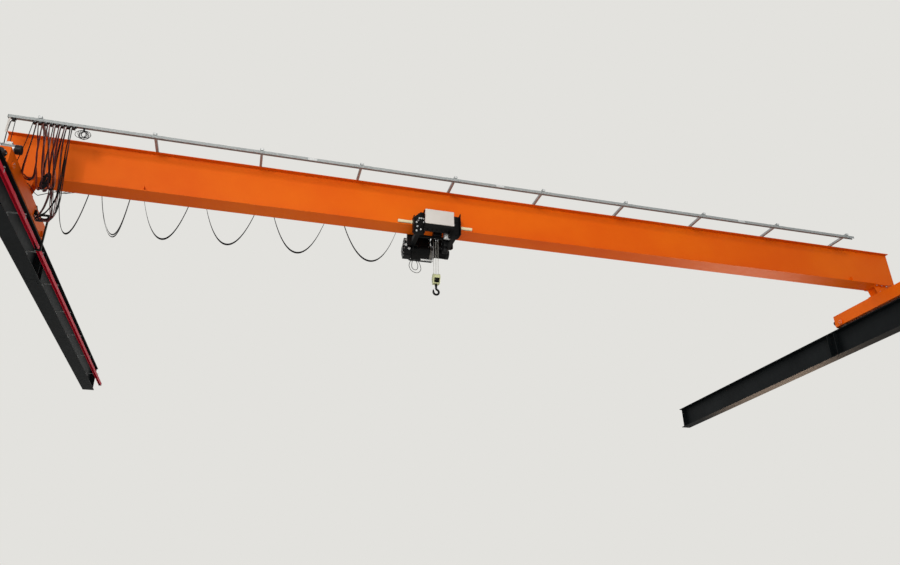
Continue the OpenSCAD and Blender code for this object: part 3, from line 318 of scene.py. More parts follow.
# %% Rubber and plastics
def moulded(name, dark, light, roughness, grain, relief=0.2, shine=0.2):
    """Rubber or plastic with a grain of the given size in metres."""
    material, tree, shader, place = new_material(name)
    pores = add(tree, "TexNoise", {"Vector": place, "Scale": 1 / grain, "Detail": 5.0}).outputs["Fac"]
    wire(tree, shader, {"Base Color": mix(tree, pores, dark, light),
                        "Roughness": between(tree, pores, roughness - 0.05, roughness + 0.08),
                        "Specular IOR Level": shine,
                        "IOR": 1.52,
                        "Normal": bumps(tree, pores, relief, 0.0004)})
    return material


# Neoprene sheath of the black cables, flat and round: near black and dull.
cable_black = moulded("black_neoprene_sheath", "#0B090B", "#191517", 0.6, 0.02, shine=0.12)
# The older cables on the near track have a dark red brown sheath.
cable_brown = moulded("red_brown_sheath", "#2C0A10", "#7A3234", 0.55, 0.12)
# A few lengths are a pale pink grey: painted highlight that stands for glints on the red brown cables.
cable_painted_highlight = moulded("pink_grey_sheath_painted_highlight", "#8C6668", "#B89C9A", 0.6, 0.12)
# Black nylon of the cable carriers, fan cowls, caps and glands: dark with a soft shine.
carrier_nylon = moulded("black_nylon", "#0C0D0E", "#16181A", 0.42, 0.004, shine=0.15)
# Extruded red PVC housing of the conductors.
conductor_red = moulded("red_pvc", "#BC102C", "#CA1C3A", 0.45, 0.3, relief=0.05, shine=0.15)
# Cellular polyurethane of the trolley buffers: cream, dull.
buffer_cream = moulded("cellular_polyurethane", "#D3C8A2", "#E2DABA", 0.7, 0.006, relief=0.4)
# Black rubber of the carriage buffers.
buffer_black = moulded("buffer_rubber", "#1A1A1C", "#2B2A2B", 0.6, 0.01, relief=0.3)
print("rubbers and plastics made")

# %% Finish of the CAD nodes
slot_material = {
    "runway_steel": runway_grey, "rail_steel": rail_steel, "conductor_red": conductor_red,
    "galvanised": galvanised, "girder_orange": girder_orange, "machinery_grey": cast_grey,
    "frame_black": frame_black, "box_white": box_white, "rubber_black": cable_black,
    "buffer_rubber": buffer_black, "buffer_cream": buffer_cream, "rope_steel": rope_steel,
    "machined_steel": machined_steel, "panel_grey": panel_grey, "block_lime": block_lime,
    "carrier_plastic": carrier_nylon,
}
node_slot = {part["node"]: part["material_slot"] for part in frame["record"]["subparts"]}
for name, node in frame["nodes"].items():
    node.data.materials.clear()
    node.data.materials.append(slot_material[node_slot[name]])
for name in ("hoist_gearbox", "hoist_motor", "trolley_drive_unit"):
    frame["nodes"][name].data.materials[0] = machine_black
usual_slot = {material.name: slot for slot, material in slot_material.items()}
print("finished", len(node_slot), "CAD nodes")

# %% [markdown]
# ## Helpers for modelling
#
# An operator acts on all that is selected, so everything is deselected before a new piece. A
# finished piece sits at the origin with its place in its mesh, as the CAD nodes do.

# %% Modelling helpers
def mode(name):
    """Goes to EDIT or OBJECT mode."""
    bpy.ops.object.mode_set(mode=name)


def clear_selection():
    """Leaves edit mode and deselects everything."""
    if bpy.context.mode != "OBJECT":
        mode("OBJECT")
    bpy.ops.object.select_all(action="DESELECT")


def pick_faces(piece, test):
    """Selects the faces that pass a test, and goes to edit mode."""
    mode("EDIT")
    bpy.ops.mesh.select_all(action="DESELECT")
    mode("OBJECT")
    for face in piece.data.polygons:
        face.select = test(face)
    mode("EDIT")


def apply_place(piece):
    """Puts the place, turn and size of an object into its mesh."""
    clear_selection()
    bpy.context.view_layer.objects.active = piece
    piece.select_set(True)
    if piece.type != "MESH":
        bpy.ops.object.convert(target="MESH")
        piece = bpy.context.object
    bpy.ops.object.transform_apply()
    return piece


def block(low, high, edge=0.003):
    """A plate or bar from corner to corner, with its edges broken by a small bevel."""
    clear_selection()
    low, high = Vector(low), Vector(high)
    bpy.ops.mesh.primitive_cube_add(size=1, location=(low + high) / 2)
    piece = bpy.context.object
    piece.scale = high - low
    bpy.ops.object.transform_apply()
    if edge:
        mode("EDIT")
        bpy.ops.mesh.bevel(offset=min(edge, 0.4 * min(high - low)), segments=2, affect="EDGES")
        mode("OBJECT")
    return piece


def rod(start, end, radius, sides=24, edge=0.002, tip=None):
    """A round bar between two points, with chamfered rims, or a cone where a tip radius is given."""
    clear_selection()
    start, end = Vector(start), Vector(end)
    axis = end - start
    bpy.ops.mesh.primitive_cone_add(vertices=sides, radius1=radius, radius2=radius if tip is None else tip,
                                    depth=axis.length, location=(start + end) / 2)
    piece = bpy.context.object
    piece.rotation_euler = axis.to_track_quat("Z", "Y").to_euler()
    bpy.ops.object.transform_apply()
    if edge:
        bpy.context.tool_settings.mesh_select_mode = (False, False, True)
        pick_faces(piece, lambda face: len(face.vertices) == sides)
        bpy.ops.mesh.inset(thickness=edge)
        mode("OBJECT")
        shift = {}
        for face in piece.data.polygons:
            if face.select:
                outward = face.normal.copy()
                for index in face.vertices:
                    shift[index] = outward * edge * 0.5
        for index, move in shift.items():
            piece.data.vertices[index].co += move
    return piece


def joined(name, parts, material=None, body=None, slot=None, smooth=True):
    """Joins parts into one named piece with one finish that rides on a body.

    The slot argument is not used.
    """
    clear_selection()
    for part in parts:
        part.select_set(True)
    bpy.context.view_layer.objects.active = parts[0]
    if len(parts) > 1:
        bpy.ops.object.join()
    piece = apply_place(bpy.context.object)
    piece.name = name
    piece.data.name = name
    if smooth:
        bpy.ops.object.shade_smooth_by_angle(angle=math.radians(35))
    if material:
        piece.data.materials.clear()
        piece.data.materials.append(material)
        slot = slot or usual_slot[material.name]
    if body:
        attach(piece, body)
    return piece


def copies(model, moves):
    """Copies of one model, each with its own mesh, moved by a vector or placed by a matrix."""
    made = []
    for move in moves:
        twin = model.copy()
        twin.data = model.data.copy()
        bpy.context.scene.collection.objects.link(twin)
        twin.matrix_world = move if isinstance(move, Matrix) else Matrix.Translation(Vector(move))
        made.append(twin)
    bpy.data.objects.remove(model)
    return made


def path_mesh(points, depth=0.0, half_width=0.0, profile=None, twist=None, flat_plane_y=None):
    """A mesh that follows points: a round cord, a flat band in a plane of constant Y, or a profile."""
    clear_selection()
    data = bpy.data.curves.new("path", "CURVE")
    data.dimensions = "3D"
    spline = data.splines.new("POLY")
    spline.points.add(len(points) - 1)
    for index, point in enumerate(points):
        if flat_plane_y is None:
            spline.points[index].co = (*point, 1.0)
        else:
            spline.points[index].co = (point[0], point[2], 0.0, 1.0)
        if twist:
            spline.points[index].tilt = twist * index
    data.twist_mode = "MINIMUM"
    if flat_plane_y is not None:
        data.dimensions = "2D"
        data.fill_mode = "NONE"
        data.extrude = half_width
    data.bevel_depth = depth
    data.bevel_resolution = 2
    data.use_fill_caps = True
    if profile:
        data.bevel_mode = "OBJECT"
        data.bevel_object = profile
    piece = bpy.data.objects.new("path", data)
    bpy.context.scene.collection.objects.link(piece)
    if flat_plane_y is not None:
        piece.rotation_euler = (math.radians(90), 0, 0)
        piece.location = (0, flat_plane_y, 0)
    return apply_place(piece)


def hoop(centre, radius, thick, sides=32, round_sides=8, turn=(0, 0, 0)):
    """A ring of round bar."""
    clear_selection()
    bpy.ops.mesh.primitive_torus_add(major_segments=sides, minor_segments=round_sides, major_radius=radius,
                                     minor_radius=thick, location=centre, rotation=turn)
    return bpy.context.object


def hardware(name, parts, body, finish=zinc_bolt):
    """Joins bolts and other zinced hardware into one piece that rides on a body. Facets stay sharp."""
    return joined(name, parts, finish, body, "galvanised", smooth=False)


print("helpers ready")

# %% [markdown]
# ## Bolts
#
# A crane is bolted together, so one hexagon bolt with a washer is modelled once and copied to
# each place. It has few faces, because it is repeated hundreds of times.

# %% Bolt model and rings of places
def bolts(places, axis, size):
    """Hexagon heads with washers that look along an axis. The size is across the head's corners."""
    clear_selection()
    bpy.ops.mesh.primitive_cylinder_add(vertices=6, radius=size / 2, depth=0.36 * size,
                                        location=(0, 0, 0.28 * size))
    head = bpy.context.object
    pick_faces(head, lambda face: face.normal.z > 0.9)
    bpy.ops.mesh.inset(thickness=0.07 * size)
    bpy.ops.transform.translate(value=(0, 0, 0.04 * size))
    mode("OBJECT")
    clear_selection()
    bpy.ops.mesh.primitive_cylinder_add(vertices=12, radius=0.62 * size, depth=0.1 * size,
                                        location=(0, 0, 0.05 * size))
    model = joined("bolt", [head, bpy.context.object], smooth=False)
    turn = Vector(axis).to_track_quat("Z", "Y").to_matrix().to_4x4()
    return copies(model, [Matrix.Translation(Vector(place)) @ turn for place in places])


def ring(centre, radius, count, axis="X", start=0.0):
    """Points round a centre in the plane across an axis."""
    points = []
    for k in range(count):
        a = math.radians(start) + 2 * math.pi * k / count
        u, v = radius * math.cos(a), radius * math.sin(a)
        shift = {"X": (0, u, v), "Y": (u, 0, v), "Z": (u, v, 0)}[axis]
        points.append(tuple(c + d for c, d in zip(centre, shift)))
    return points


print("bolt ready")

# %% [markdown]
# ## Runway fittings
#
# Clips hold the square rail bar on the beams. The conductor housing hangs in clips, has sleeves
# over its joints and a cap at each end. A sleeve is three plates, because the underside stays
# open for the collector's shoe.

# %% Rail clips
rail_line_x = (0.0, 19.5)
runway_y0 = -5.8
beam_top = 0.65
clip_parts = []
for side in (-1, 1):
    near, far = sorted((side * 0.027, side * 0.078))
    clip_parts.append(block((near, -0.03, beam_top), (far, 0.03, beam_top + 0.011)))
    clip_parts += bolts([(side * 0.055, 0, beam_top + 0.011)], (0, 0, 1), 0.02)
clip_pair = joined("clip_pair", clip_parts, smooth=False)
clips = copies(clip_pair, [(x, runway_y0 + 0.3 + 0.6 * k, 0) for x in rail_line_x for k in range(25)])
hardware("rail_clips", clips, "runway", galvanised)
print("rail clips:", len(clips))

# %% Conductor sleeves, clips and caps
housing_x0, housing_x1, housing_top, sunk = 0.26, 0.32, 0.22, 0.0002


def open_sleeve(y0, y1, proud, low=0.142):
    """Three plates round the top and sides of the conductor housing, sunk a little into it."""
    x0, x1, z1 = housing_x0 - proud, housing_x1 + proud, housing_top + proud
    return [block((x0, y0, low), (housing_x0 + sunk, y1, z1), 0.001),
            block((housing_x1 - sunk, y0, low), (x1, y1, z1), 0.001),
            block((x0, y0, housing_top - sunk), (x1, y1, z1), 0.001)]


sleeves = []
for k in range(5):
    y = -4.3 + 3 * k
    sleeves += open_sleeve(y - 0.07, y + 0.07, 0.004)
joined("conductor_joint_sleeves", sleeves, conductor_red, "runway", smooth=False)
hangers, hanger_bolts = [], []
for k in range(10):
    y = -5.05 + 1.5 * k
    hangers += open_sleeve(y + 0.004, y + 0.036, 0.003, low=0.165)
    hanger_bolts += bolts([(0.29, y + 0.02, 0.268)], (0, 0, 1), 0.016)
    hanger_bolts += bolts([(0.03, y + 0.02, 0.205)], (1, 0, 0), 0.016)
hardware("conductor_hanger_clips", hangers, "runway", galvanised)
hardware("conductor_hanger_bolts", hanger_bolts, "runway")
caps = []
for y0, y1 in ((-5.799, -5.782), (9.182, 9.199)):
    caps += open_sleeve(y0, y1, 0.003) + [block((0.262, y0, 0.145), (0.318, y0 + 0.006, 0.218), 0.001)]
joined("conductor_end_caps", caps, carrier_nylon, "runway", "conductor_red", smooth=False)
print("conductor fitted with", len(hangers) // 3, "hanger clips")

# %% [markdown]
# ## End carriages and bridge drives
#
# Each wheel runs in bearings behind round caps. A sweep plate in front of a wheel clears the
# rail, and each buffer stands on a flange. The two drives are geared motors: a cast body with a
# black plastic fan cowl.

# %% Carriage caps, sweeps and buffer flanges
wheel_y, wheel_z = 1.225, 0.8003
end_y, buffer_z = 1.4505, 0.88
cap_plates, cap_bolts, sweeps = [], [], []
for x in rail_line_x:
    for y in (-wheel_y, wheel_y):
        for side in (-1, 1):
            driven = y < 0 and (side < 0) == (x < 1)
            if not driven:
                face = x + side * 0.145
                cap_plates.append(rod((face, y, wheel_z), (face + side * 0.01, y, wheel_z), 0.058))
                cap_bolts += bolts(ring((face + side * 0.011, y, wheel_z), 0.044, 6), (side, 0, 0), 0.014)
    for side in (-1, 1):
        y0, y1 = sorted((side * end_y, side * (end_y + 0.012)))
        sweeps.append(block((x - 0.085, y0, 0.712), (x + 0.085, y1, 0.795)))
        sweeps.append(rod((x, side * end_y, buffer_z), (x, side * 1.463, buffer_z), 0.083, sides=32))
        cap_bolts += bolts([(x + dx, side * 1.463, 0.765) for dx in (-0.06, 0.06)], (0, side, 0), 0.02)
        cap_bolts += bolts(ring((x, side * 1.464, buffer_z), 0.073, 6, "Y"), (0, side, 0), 0.014)
joined("bearing_caps", cap_plates, girder_orange, "bridge")
joined("rail_sweeps_and_buffer_flanges", sweeps, frame_black, "bridge")
hardware("carriage_bolts", cap_bolts, "bridge")
print("bearing caps:", len(cap_plates))


# %% Motor cowls and lids
def fan_cowl(start, end, radius):
    """Plastic cowl with an air grille at its end, as rings and spokes."""
    start, end = Vector(start), Vector(end)
    out = (end - start).normalized()
    parts = [rod(start, end, radius, sides=40, edge=0.008)]
    for share in (0.3, 0.5, 0.7):
        turn = out.to_track_quat("Z", "Y").to_euler()
        parts.append(hoop(end + out * 0.004, share * radius, 0.0028, 28, 6, turn))
    across = out.orthogonal().normalized()
    for k in range(6):
        ray = across.copy()
        ray.rotate(Matrix.Rotation(k * math.pi / 3, 3, out))
        parts.append(rod(end + out * 0.005, end + out * 0.005 + ray * 0.72 * radius, 0.0026, sides=6, edge=0))
    return parts


def lid(low, high, axis_index, side):
    """Lid of a terminal box with four screws. The lid's outer side looks along one axis."""
    axis = [0, 0, 0]
    axis[axis_index] = side
    shares = [(0.12, 0.88)] * 3
    shares[axis_index] = (1,) if side > 0 else (0,)
    plate = block(low, high, 0.003)
    places = [[a + share * (b - a) for a, b, share in zip(low, high, corner)] for corner in product(*shares)]
    return [plate] + bolts(places, axis, 0.009)


drive_z = 1.1303
cowls, lids, case_bolts, case_caps = [], [], [], []
for x, side in ((0.0, 1), (19.5, -1)):
    cowls += fan_cowl((x + side * 0.112, -wheel_y, drive_z), (x + side * 0.2045, -wheel_y, drive_z), 0.084)
    a, b = sorted((x - side * 0.0525, x + side * 0.0515))
    lids += lid((a, -wheel_y - 0.047, 1.238), (b, -wheel_y + 0.047, 1.2505), 2, 1)
    face = x - side * 0.2555
    for z in (wheel_z, drive_z):
        case_caps.append(rod((face, -wheel_y, z), (face - side * 0.009, -wheel_y, z), 0.05, sides=32))
        case_bolts += bolts(ring((face - side * 0.001, -wheel_y, z), 0.078, 4, start=45 if z > 1 else -135),
                            (-side, 0, 0), 0.015)
        case_bolts += bolts(ring((face - side * 0.0095, -wheel_y, z), 0.036, 4), (-side, 0, 0), 0.01)
    case_bolts += bolts([(face, -wheel_y + dy, 0.965) for dy in (-0.078, 0.078)], (-side, 0, 0), 0.015)
    flange = (x - side * 0.1025, -wheel_y, drive_z)
    case_bolts += bolts(ring(flange, 0.0865, 4, start=45), (side, 0, 0), 0.012)
joined("bridge_drive_cowls", cowls, carrier_nylon, "bridge")
joined("bridge_drive_lids", lids, cast_grey, "bridge")
joined("bridge_drive_caps", case_caps, cast_grey, "bridge")
hardware("bridge_drive_bolts", case_bolts, "bridge")
print("drives dressed")

# %% [markdown]
# ## Girder, saddles and end stops
#
# Long fillet welds join the webs to the flanges. They show as a soft line that catches light in
# each corner. Bolts hold the saddles and the stops.

# %% Weld beads and girder bolts
beads = []
for y in (-0.1205, 0.1205):
    for z in (1.2595, 2.1475):
        beads.append(rod((-0.46, y, z), (19.96, y, z), 0.0065, sides=8, edge=0))
for x in rail_line_x:
    for y in (-0.205, 0.205):
        beads.append(rod((x - 0.175, y, 1.2435), (x + 0.175, y, 1.2435), 0.004, sides=8, edge=0))
joined("girder_weld_beads", beads, girder_orange, "bridge")
saddle_bolts = []
for x in rail_line_x:
    for z, reach, way in ((1.045, 0.09, 1), (1.23, 0.14, -1)):
        places = [(x + dx, y, z) for dx in (-reach, 0.0, reach) for y in (-0.17, 0.17)]
        saddle_bolts += bolts(places, (0, 0, way), 0.032)
for x in (2.03, 18.665):
    saddle_bolts += bolts([(x, y, 1.273) for y in (-0.185, -0.145, 0.145, 0.185)], (0, 0, 1), 0.018)
hardware("saddle_and_stop_bolts", saddle_bolts, "bridge")
print("weld beads:", len(beads))

# %% [markdown]
# ## Festoon tracks
#
# Both tracks hang below arms that lie across the top flange. At each arm two plates on the arm's
# sides and two rails on the track's sides clamp them together. Splices join the lengths of the
# tracks, and plates or plastic caps close the ends.

# %% Track clamps and caps
near_track_y, far_track_y = -0.74, 0.47
track_top, track_low, arm_top = 2.165, 2.105, 2.215
arm_xs = [0.2 + 2 * k for k in range(10)]


def side_plate(x, y, side, half, low, high, bolt_shifts, size):
    """Plate on one side of a track, with its bolts. Low and high keep it off the track's edges."""
    middle = y + side * 0.032
    plate = block((x - half, middle - 0.002, track_low + low),
                  (x + half, middle + 0.002, track_top - high), 0.001)
    places = [(x + dx, y + side * 0.034, track_low + 0.03) for dx in bolt_shifts]
    return [plate] + bolts(places, (0, side, 0), size)


def track_clamp(plate_half):
    """Clamp of one track at one arm, modelled at x = 0 and y = 0."""
    parts = []
    for s in (-1, 1):
        parts += side_plate(0, 0, s, plate_half, 0.002, 0, (-0.055, 0.055), 0.016)
        parts.append(block((s * 0.028 - 0.003, -0.052, track_top + 0.001),
                           (s * 0.028 + 0.003, 0.052, arm_top - 0.002), 0.001))
        parts += bolts([(s * 0.031, dy, track_top + 0.025) for dy in (-0.034, 0.034)], (s, 0, 0), 0.017)
    return joined("track_clamp", parts, smooth=False)


near_clamps = copies(track_clamp(0.2), [(x, near_track_y, 0) for x in arm_xs])
far_clamps = copies(track_clamp(0.09), [(x, far_track_y, 0) for x in arm_xs])
hardware("near_track_clamps", near_clamps, "bridge", galvanised)
hardware("hoist_track_clamps", far_clamps, "bridge", galvanised)
splices = []
for x in (5.2, 9.2, 15.2):
    for y in (near_track_y, far_track_y):
        for s in (-1, 1):
            splices += side_plate(x, y, s, 0.09, 0.006, 0.004, (-0.065, -0.025, 0.025, 0.065), 0.015)
hardware("track_splices", splices, "bridge", zinc_sheet)
arm_ends = []
for x in arm_xs:
    for y0, y1 in ((-0.7915, -0.7885), (0.5185, 0.5215)):
        arm_ends.append(block((x - 0.0245, y0, track_top + 0.001), (x + 0.0245, y1, arm_top - 0.001), 0.001))
hardware("arm_end_plates", arm_ends, "bridge", zinc_sheet)
caps = []
for x0, y in ((-0.331, near_track_y), (18.249, near_track_y), (0.229, far_track_y), (18.249, far_track_y)):
    caps.append(block((x0 - 0.003, y - 0.0315, track_low - 0.001),
                      (x0 + 0.006, y + 0.0315, track_top - 0.001), 0.001))
joined("track_end_caps", caps, carrier_nylon, "bridge", smooth=False)
post = [block((-0.318, -0.752, 1.79), (-0.282, -0.746, 2.13)),
        block((-0.318, -0.775, 2.10), (-0.282, -0.705, 2.106))]
post += bolts([(-0.3, -0.752, 1.83), (-0.3, -0.752, 1.95)], (0, -1, 0), 0.018)
joined("cable_post", post, box_white, "bridge", "galvanised")
print("clamps:", len(near_clamps) + len(far_clamps))

# %% [markdown]
# ## Cabinet on the bridge
#
# The cabinet has a door that stands a little proud on a black gasket, with hinges on one side,
# a swing handle on the other, a louvre, and cable glands in its floor. The gasket's black band round
# the door is also painted shade for the gap between door and body.

# %% Cabinet door and glands
panel_x0, panel_x1, panel_z0, panel_z1, panel_y1 = 0.6, 1.4, 1.379, 2.019, 0.38
# Black band round the door: a rubber seal, and painted shade for the gap round the door.
gasket = block((panel_x0 + 0.008, panel_y1 - 0.002, panel_z0 + 0.008),
               (panel_x1 - 0.008, panel_y1 + 0.003, panel_z1 - 0.008))
joined("cabinet_gasket_and_gap_shade", [gasket], cable_black, "bridge")
door = [block((panel_x0 + 0.012, panel_y1 + 0.002, panel_z0 + 0.012),
              (panel_x1 - 0.012, panel_y1 + 0.018, panel_z1 - 0.012), 0.005)]
for k in range(8):
    z = 1.47 + 0.022 * k
    door.append(block((0.88, panel_y1 + 0.016, z), (1.12, panel_y1 + 0.024, z + 0.009), 0.003))
door.append(block((panel_x0 - 0.01, 0.13, panel_z1 - 0.001),
                  (panel_x1 + 0.01, panel_y1 + 0.03, panel_z1 + 0.008), 0.003))
joined("cabinet_door", door, panel_grey, "bridge")
hinge_x, hinge_y = panel_x0 + 0.02, panel_y1 + 0.018
metalwork = [rod((hinge_x, hinge_y, z), (hinge_x, hinge_y, z + 0.07), 0.008, sides=12)
             for z in (1.45, 1.66, 1.87)]
metalwork.append(block((1.345, panel_y1 + 0.016, 1.62), (1.372, panel_y1 + 0.026, 1.78)))
metalwork.append(rod((1.358, panel_y1 + 0.03, 1.64), (1.358, panel_y1 + 0.03, 1.76), 0.007, sides=12))
for k in range(6):
    x = 0.7 + 0.11 * k
    metalwork.append(rod((x, 0.26, panel_z0 - 0.026), (x, 0.26, panel_z0), 0.015, sides=12))
    metalwork.append(rod((x, 0.26, panel_z0 - 0.012), (x, 0.26, panel_z0 - 0.002), 0.019, sides=6))
joined("cabinet_hinges_handle_glands", metalwork, zinc_bolt, "bridge", "galvanised")
feet_bolts = bolts([(x, 0.131, z) for x in (0.7, 1.3) for z in (1.364, 2.034)], (0, 1, 0), 0.014)
hardware("cabinet_foot_bolts", feet_bolts, "bridge")
print("cabinet finished")

# %% [markdown]
# ## The hoist's festoon cable
#
# The hoist gets its power from flat cables that hang in loops between carriers. The strap over a
# carrier's dome rides with its carrier. Each loop is a catenary between the straps of two carriers,
# fixed where the trolley stands now. A reach from the carriers' ratios is worked out but not used.

# %% Lines of hanging cables
def catenary(x0, x1, z, sag, steps=36, sharpness=1.3):
    """Points of a hanging loop between two ends of the same height."""
    rise = math.cosh(sharpness) - 1
    line = []
    for i in range(steps + 1):
        u = 2 * i / steps - 1
        height = (math.cosh(sharpness * u) - 1) / rise
        line.append(((x0 + x1) / 2 + (x1 - x0) / 2 * u, 0, z - sag * (1 - height)))
    return line


def over_dome(x, z, radius, first, last, steps=6):
    """Points over a carrier's dome between two angles in degrees."""
    angles = [math.radians(first + (last - first) * i / steps) for i in range(steps + 1)]
    return [(x + radius * math.cos(a), 0, z + radius * math.sin(a)) for a in angles]


def smoothstep_at(share):
    """Where along a blend the smooth weight reaches a share of the movement."""
    return 0.5 - math.sin(math.asin(1 - 2 * share) / 3)


# %% Loops of the hoist cable
carrier_x = [0.35, 1.1, 1.85, 3.03, 4.37, 5.83, 7.4]
# The first and last angle of each strap over its dome, in degrees
strap_ends = [(90, -4)] + [(184, -4)] * 5 + [(184, 90)]
carrier_share = [0.0, 0.125, 0.25, 0.44, 0.635, 0.825, 1.0]
dome_z, strap_r = 2.0427, 0.041
loop_sags = [1.56, 1.48, 1.45, 1.4, 1.4, 1.4]
loop_leans = [0.02, 0.09, 0.03, 0.0, 0.0, 0.02]
for i in range(len(loop_sags)):
    x0, x1 = carrier_x[i] + strap_r, carrier_x[i + 1] - strap_r
    t0, t1 = smoothstep_at(carrier_share[i]), smoothstep_at(carrier_share[i + 1])
    reach = (x1 - x0) / (t1 - t0)
    layers = []
    # The second cable hangs a little lower than the first, and clearly lower in the second loop
    lower = 0.05 if i == 1 else 0.014
    for half_thick, half_wide, extra in ((0.003, 0.021, 0.0), (0.0025, 0.0185, lower)):
        line = catenary(x0, x1, dome_z, loop_sags[i] + extra)
        layers.append(path_mesh(line, depth=half_thick, half_width=half_wide, flat_plane_y=far_track_y))
    piece = joined(f"festoon_loop_{i + 1}", layers, cable_black)
    for vertex in piece.data.vertices:
        depth = max(0.0, dome_z - vertex.co.z) / loop_sags[i]
        vertex.co.y += 0.015 * math.sin(3.1 * depth + i) * depth
        vertex.co.x += loop_leans[i] * depth ** 2
    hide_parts("hoist_festoon_cable")
    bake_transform(piece)
straps = ["bridge"] + [f"carrier_{i}" for i in range(1, 6)] + ["trolley"]
for i, body in enumerate(straps):
    line = over_dome(carrier_x[i], dome_z, strap_r, *strap_ends[i], steps=14)
    strap = path_mesh(line, depth=0.0045, half_width=0.021, flat_plane_y=far_track_y)
    piece = joined(f"festoon_strap_{i + 1}", [strap], cable_black, body)
    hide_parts("hoist_festoon_cable")
print("festoon loops:", len(loop_sags))

# %% Carrier bolts
def carrier_bolts(x, y, z):
    """Two bolts on each side of a carrier."""
    parts = []
    for s in (-1, 1):
        parts += bolts([(x + dx, y + s * 0.0302, z) for dx in (-0.011, 0.011)], (0, s, 0), 0.011)
    return parts


for i in range(1, 6):
    hardware(f"carrier_{i}_bolts", carrier_bolts(carrier_x[i], far_track_y, 2.083), f"carrier_{i}")
parked_x0, parked_pitch, parked_count = 0.12, 0.095, 8
parked_bolts = []
for k in range(parked_count):
    parked_bolts += carrier_bolts(parked_x0 + parked_pitch * k, near_track_y, 2.09)
hardware("parked_carrier_bolts", parked_bolts, "bridge")
print("carriers bolted:", 5 + parked_count)

# %% Leads to the cabinet
lead_bundle = []
for k in range(3):
    dy = 0.012 * (k - 1)
    route = [(0.7 + 0.11 * k, 0.26, 1.36), (0.7 + 0.11 * k, 0.262, 1.33), (0.66 + 0.08 * k, 0.28, 1.30),
             (0.56 + 0.03 * k, 0.33, 1.275), (0.45, 0.38 + dy, 1.30), (0.385, 0.42 + dy, 1.42),
             (0.345, 0.45 + dy, 1.62), (0.322, 0.465 + dy, 1.82), (0.315, 0.47 + dy, 1.97),
             (0.314, 0.47 + dy, 2.04), (0.325, 0.47 + dy, 2.067), (0.35, 0.47 + dy, 2.0785)]
    lead_bundle.append(path_mesh(route, depth=0.0055))
joined("cabinet_to_festoon_leads", lead_bundle, cable_black, "bridge")
print("leads:", len(lead_bundle))

# %% [markdown]
# ## Parked cables
#
# On the near track the carriers are pushed together, so their loops hang side by side. A stiff
# cable makes a narrow drop that opens to a round belly, and the drops lean and cross, so each one
# gets its own depth, belly and lean.

# %% Line through points
def smooth_line(points, steps=6):
    """Points of a Catmull-Rom curve through the given points."""
    points = [Vector(p) for p in points]
    line = []
    for i in range(len(points) - 1):
        a, b, c, d = points[max(i - 1, 0)], points[i], points[i + 1], points[min(i + 2, len(points) - 1)]
        for k in range(steps):
            t = k / steps
            line.append(tuple(0.5 * ((2 * b) + (c - a) * t + (2 * a - 5 * b + 4 * c - d) * t * t
                                     + (3 * b - a - 3 * c + d) * t ** 3)))
    return line + [tuple(points[-1])]


def winding(turn_count, steps, place):
    """Points of a winding. Place gives a point from the number of turns so far and its angle."""
    return [place(k / steps, 2 * math.pi * k / steps) for k in range(turn_count * steps + 1)]


# %% Parked cable folds
parked_dome_z, parked_r = 2.0507, 0.031
# Each fold as the points that its cable goes through between two carriers, x and z in metres
fold_points = [
    [(0.146, 1.69), (0.14, 1.358), (0.149, 1.014), (0.21, 0.875), (0.286, 0.824), (0.344, 0.855),
     (0.349, 1.026), (0.285, 1.494), (0.22, 1.8)],
    [(0.262, 1.7), (0.30, 1.3), (0.38, 0.95), (0.43, 0.72), (0.47, 0.66), (0.51, 0.70), (0.50, 0.9),
     (0.43, 1.3), (0.32, 1.8)],
    [(0.36, 1.6), (0.41, 1.2), (0.46, 0.9), (0.52, 0.68), (0.56, 0.64), (0.60, 0.69), (0.575, 0.9),
     (0.50, 1.3), (0.40, 1.8)],
    [(0.45, 1.6), (0.46, 1.2), (0.50, 0.98), (0.60, 0.72), (0.65, 0.67), (0.69, 0.72), (0.66, 0.95),
     (0.58, 1.3), (0.49, 1.8)],
    [(0.54, 1.6), (0.55, 1.2), (0.58, 0.9), (0.636, 0.615), (0.613, 0.3), (0.57, 0.13), (0.61, 0.06),
     (0.694, 0.044), (0.76, 0.08), (0.74, 0.3), (0.67, 0.7), (0.62, 1.2), (0.58, 1.7)],
    [(0.63, 1.6), (0.64, 1.2), (0.67, 0.8), (0.70, 0.456), (0.735, 0.25), (0.767, 0.138), (0.806, 0.127),
     (0.80, 0.25), (0.79, 0.435), (0.77, 0.8), (0.71, 1.3), (0.67, 1.7)],
    [(0.735, 1.8), (0.743, 1.577), (0.773, 1.251), (0.80, 0.9), (0.79, 0.5), (0.67, 0.2), (0.56, 0.10),
     (0.53, 0.062), (0.58, 0.04), (0.70, 0.055), (0.80, 0.13), (0.85, 0.4), (0.842, 0.724), (0.80, 1.25),
     (0.768, 1.7)]]
folds = {"brown": [], "dark": [], "pale": []}
for i, points in enumerate(fold_points):
    x0 = parked_x0 + i * parked_pitch
    x1 = x0 + parked_pitch
    for layer in range(3):
        radius = parked_r + 0.003 * (1 - layer)
        sway = 0.016 * (layer - 1)
        middle = [(x + sway * math.sin(2.1 * z + i + 1.3 * layer), 0, z + 0.035 * layer * (z < 1))
                  for x, z in points]
        line = over_dome(x0, parked_dome_z, radius, 90, 0)[:-1]
        line += smooth_line([(x0 + radius, 0, parked_dome_z)] + middle + [(x1 - radius, 0, parked_dome_z)])
        line += over_dome(x1, parked_dome_z, radius, 180, 90)[1:]
        part = path_mesh(line, depth=0.0028, half_width=0.0185, flat_plane_y=near_track_y)
        for vertex in part.data.vertices:
            depth = max(0.0, parked_dome_z - vertex.co.z)
            vertex.co.y += (0.024 * (layer - 1) + 0.018 * math.sin(3.3 * depth + 2.2 * i)) * min(depth, 1.0)
        if (i + layer) % 3 == 0 or i == 6:
            finish = "dark"
        else:
            # The pale layers carry the painted highlight: pale sheaths stand for glints on the bundle.
            finish = "pale" if layer == 2 and i in (2, 3, 5) else "brown"
        folds[finish].append(part)
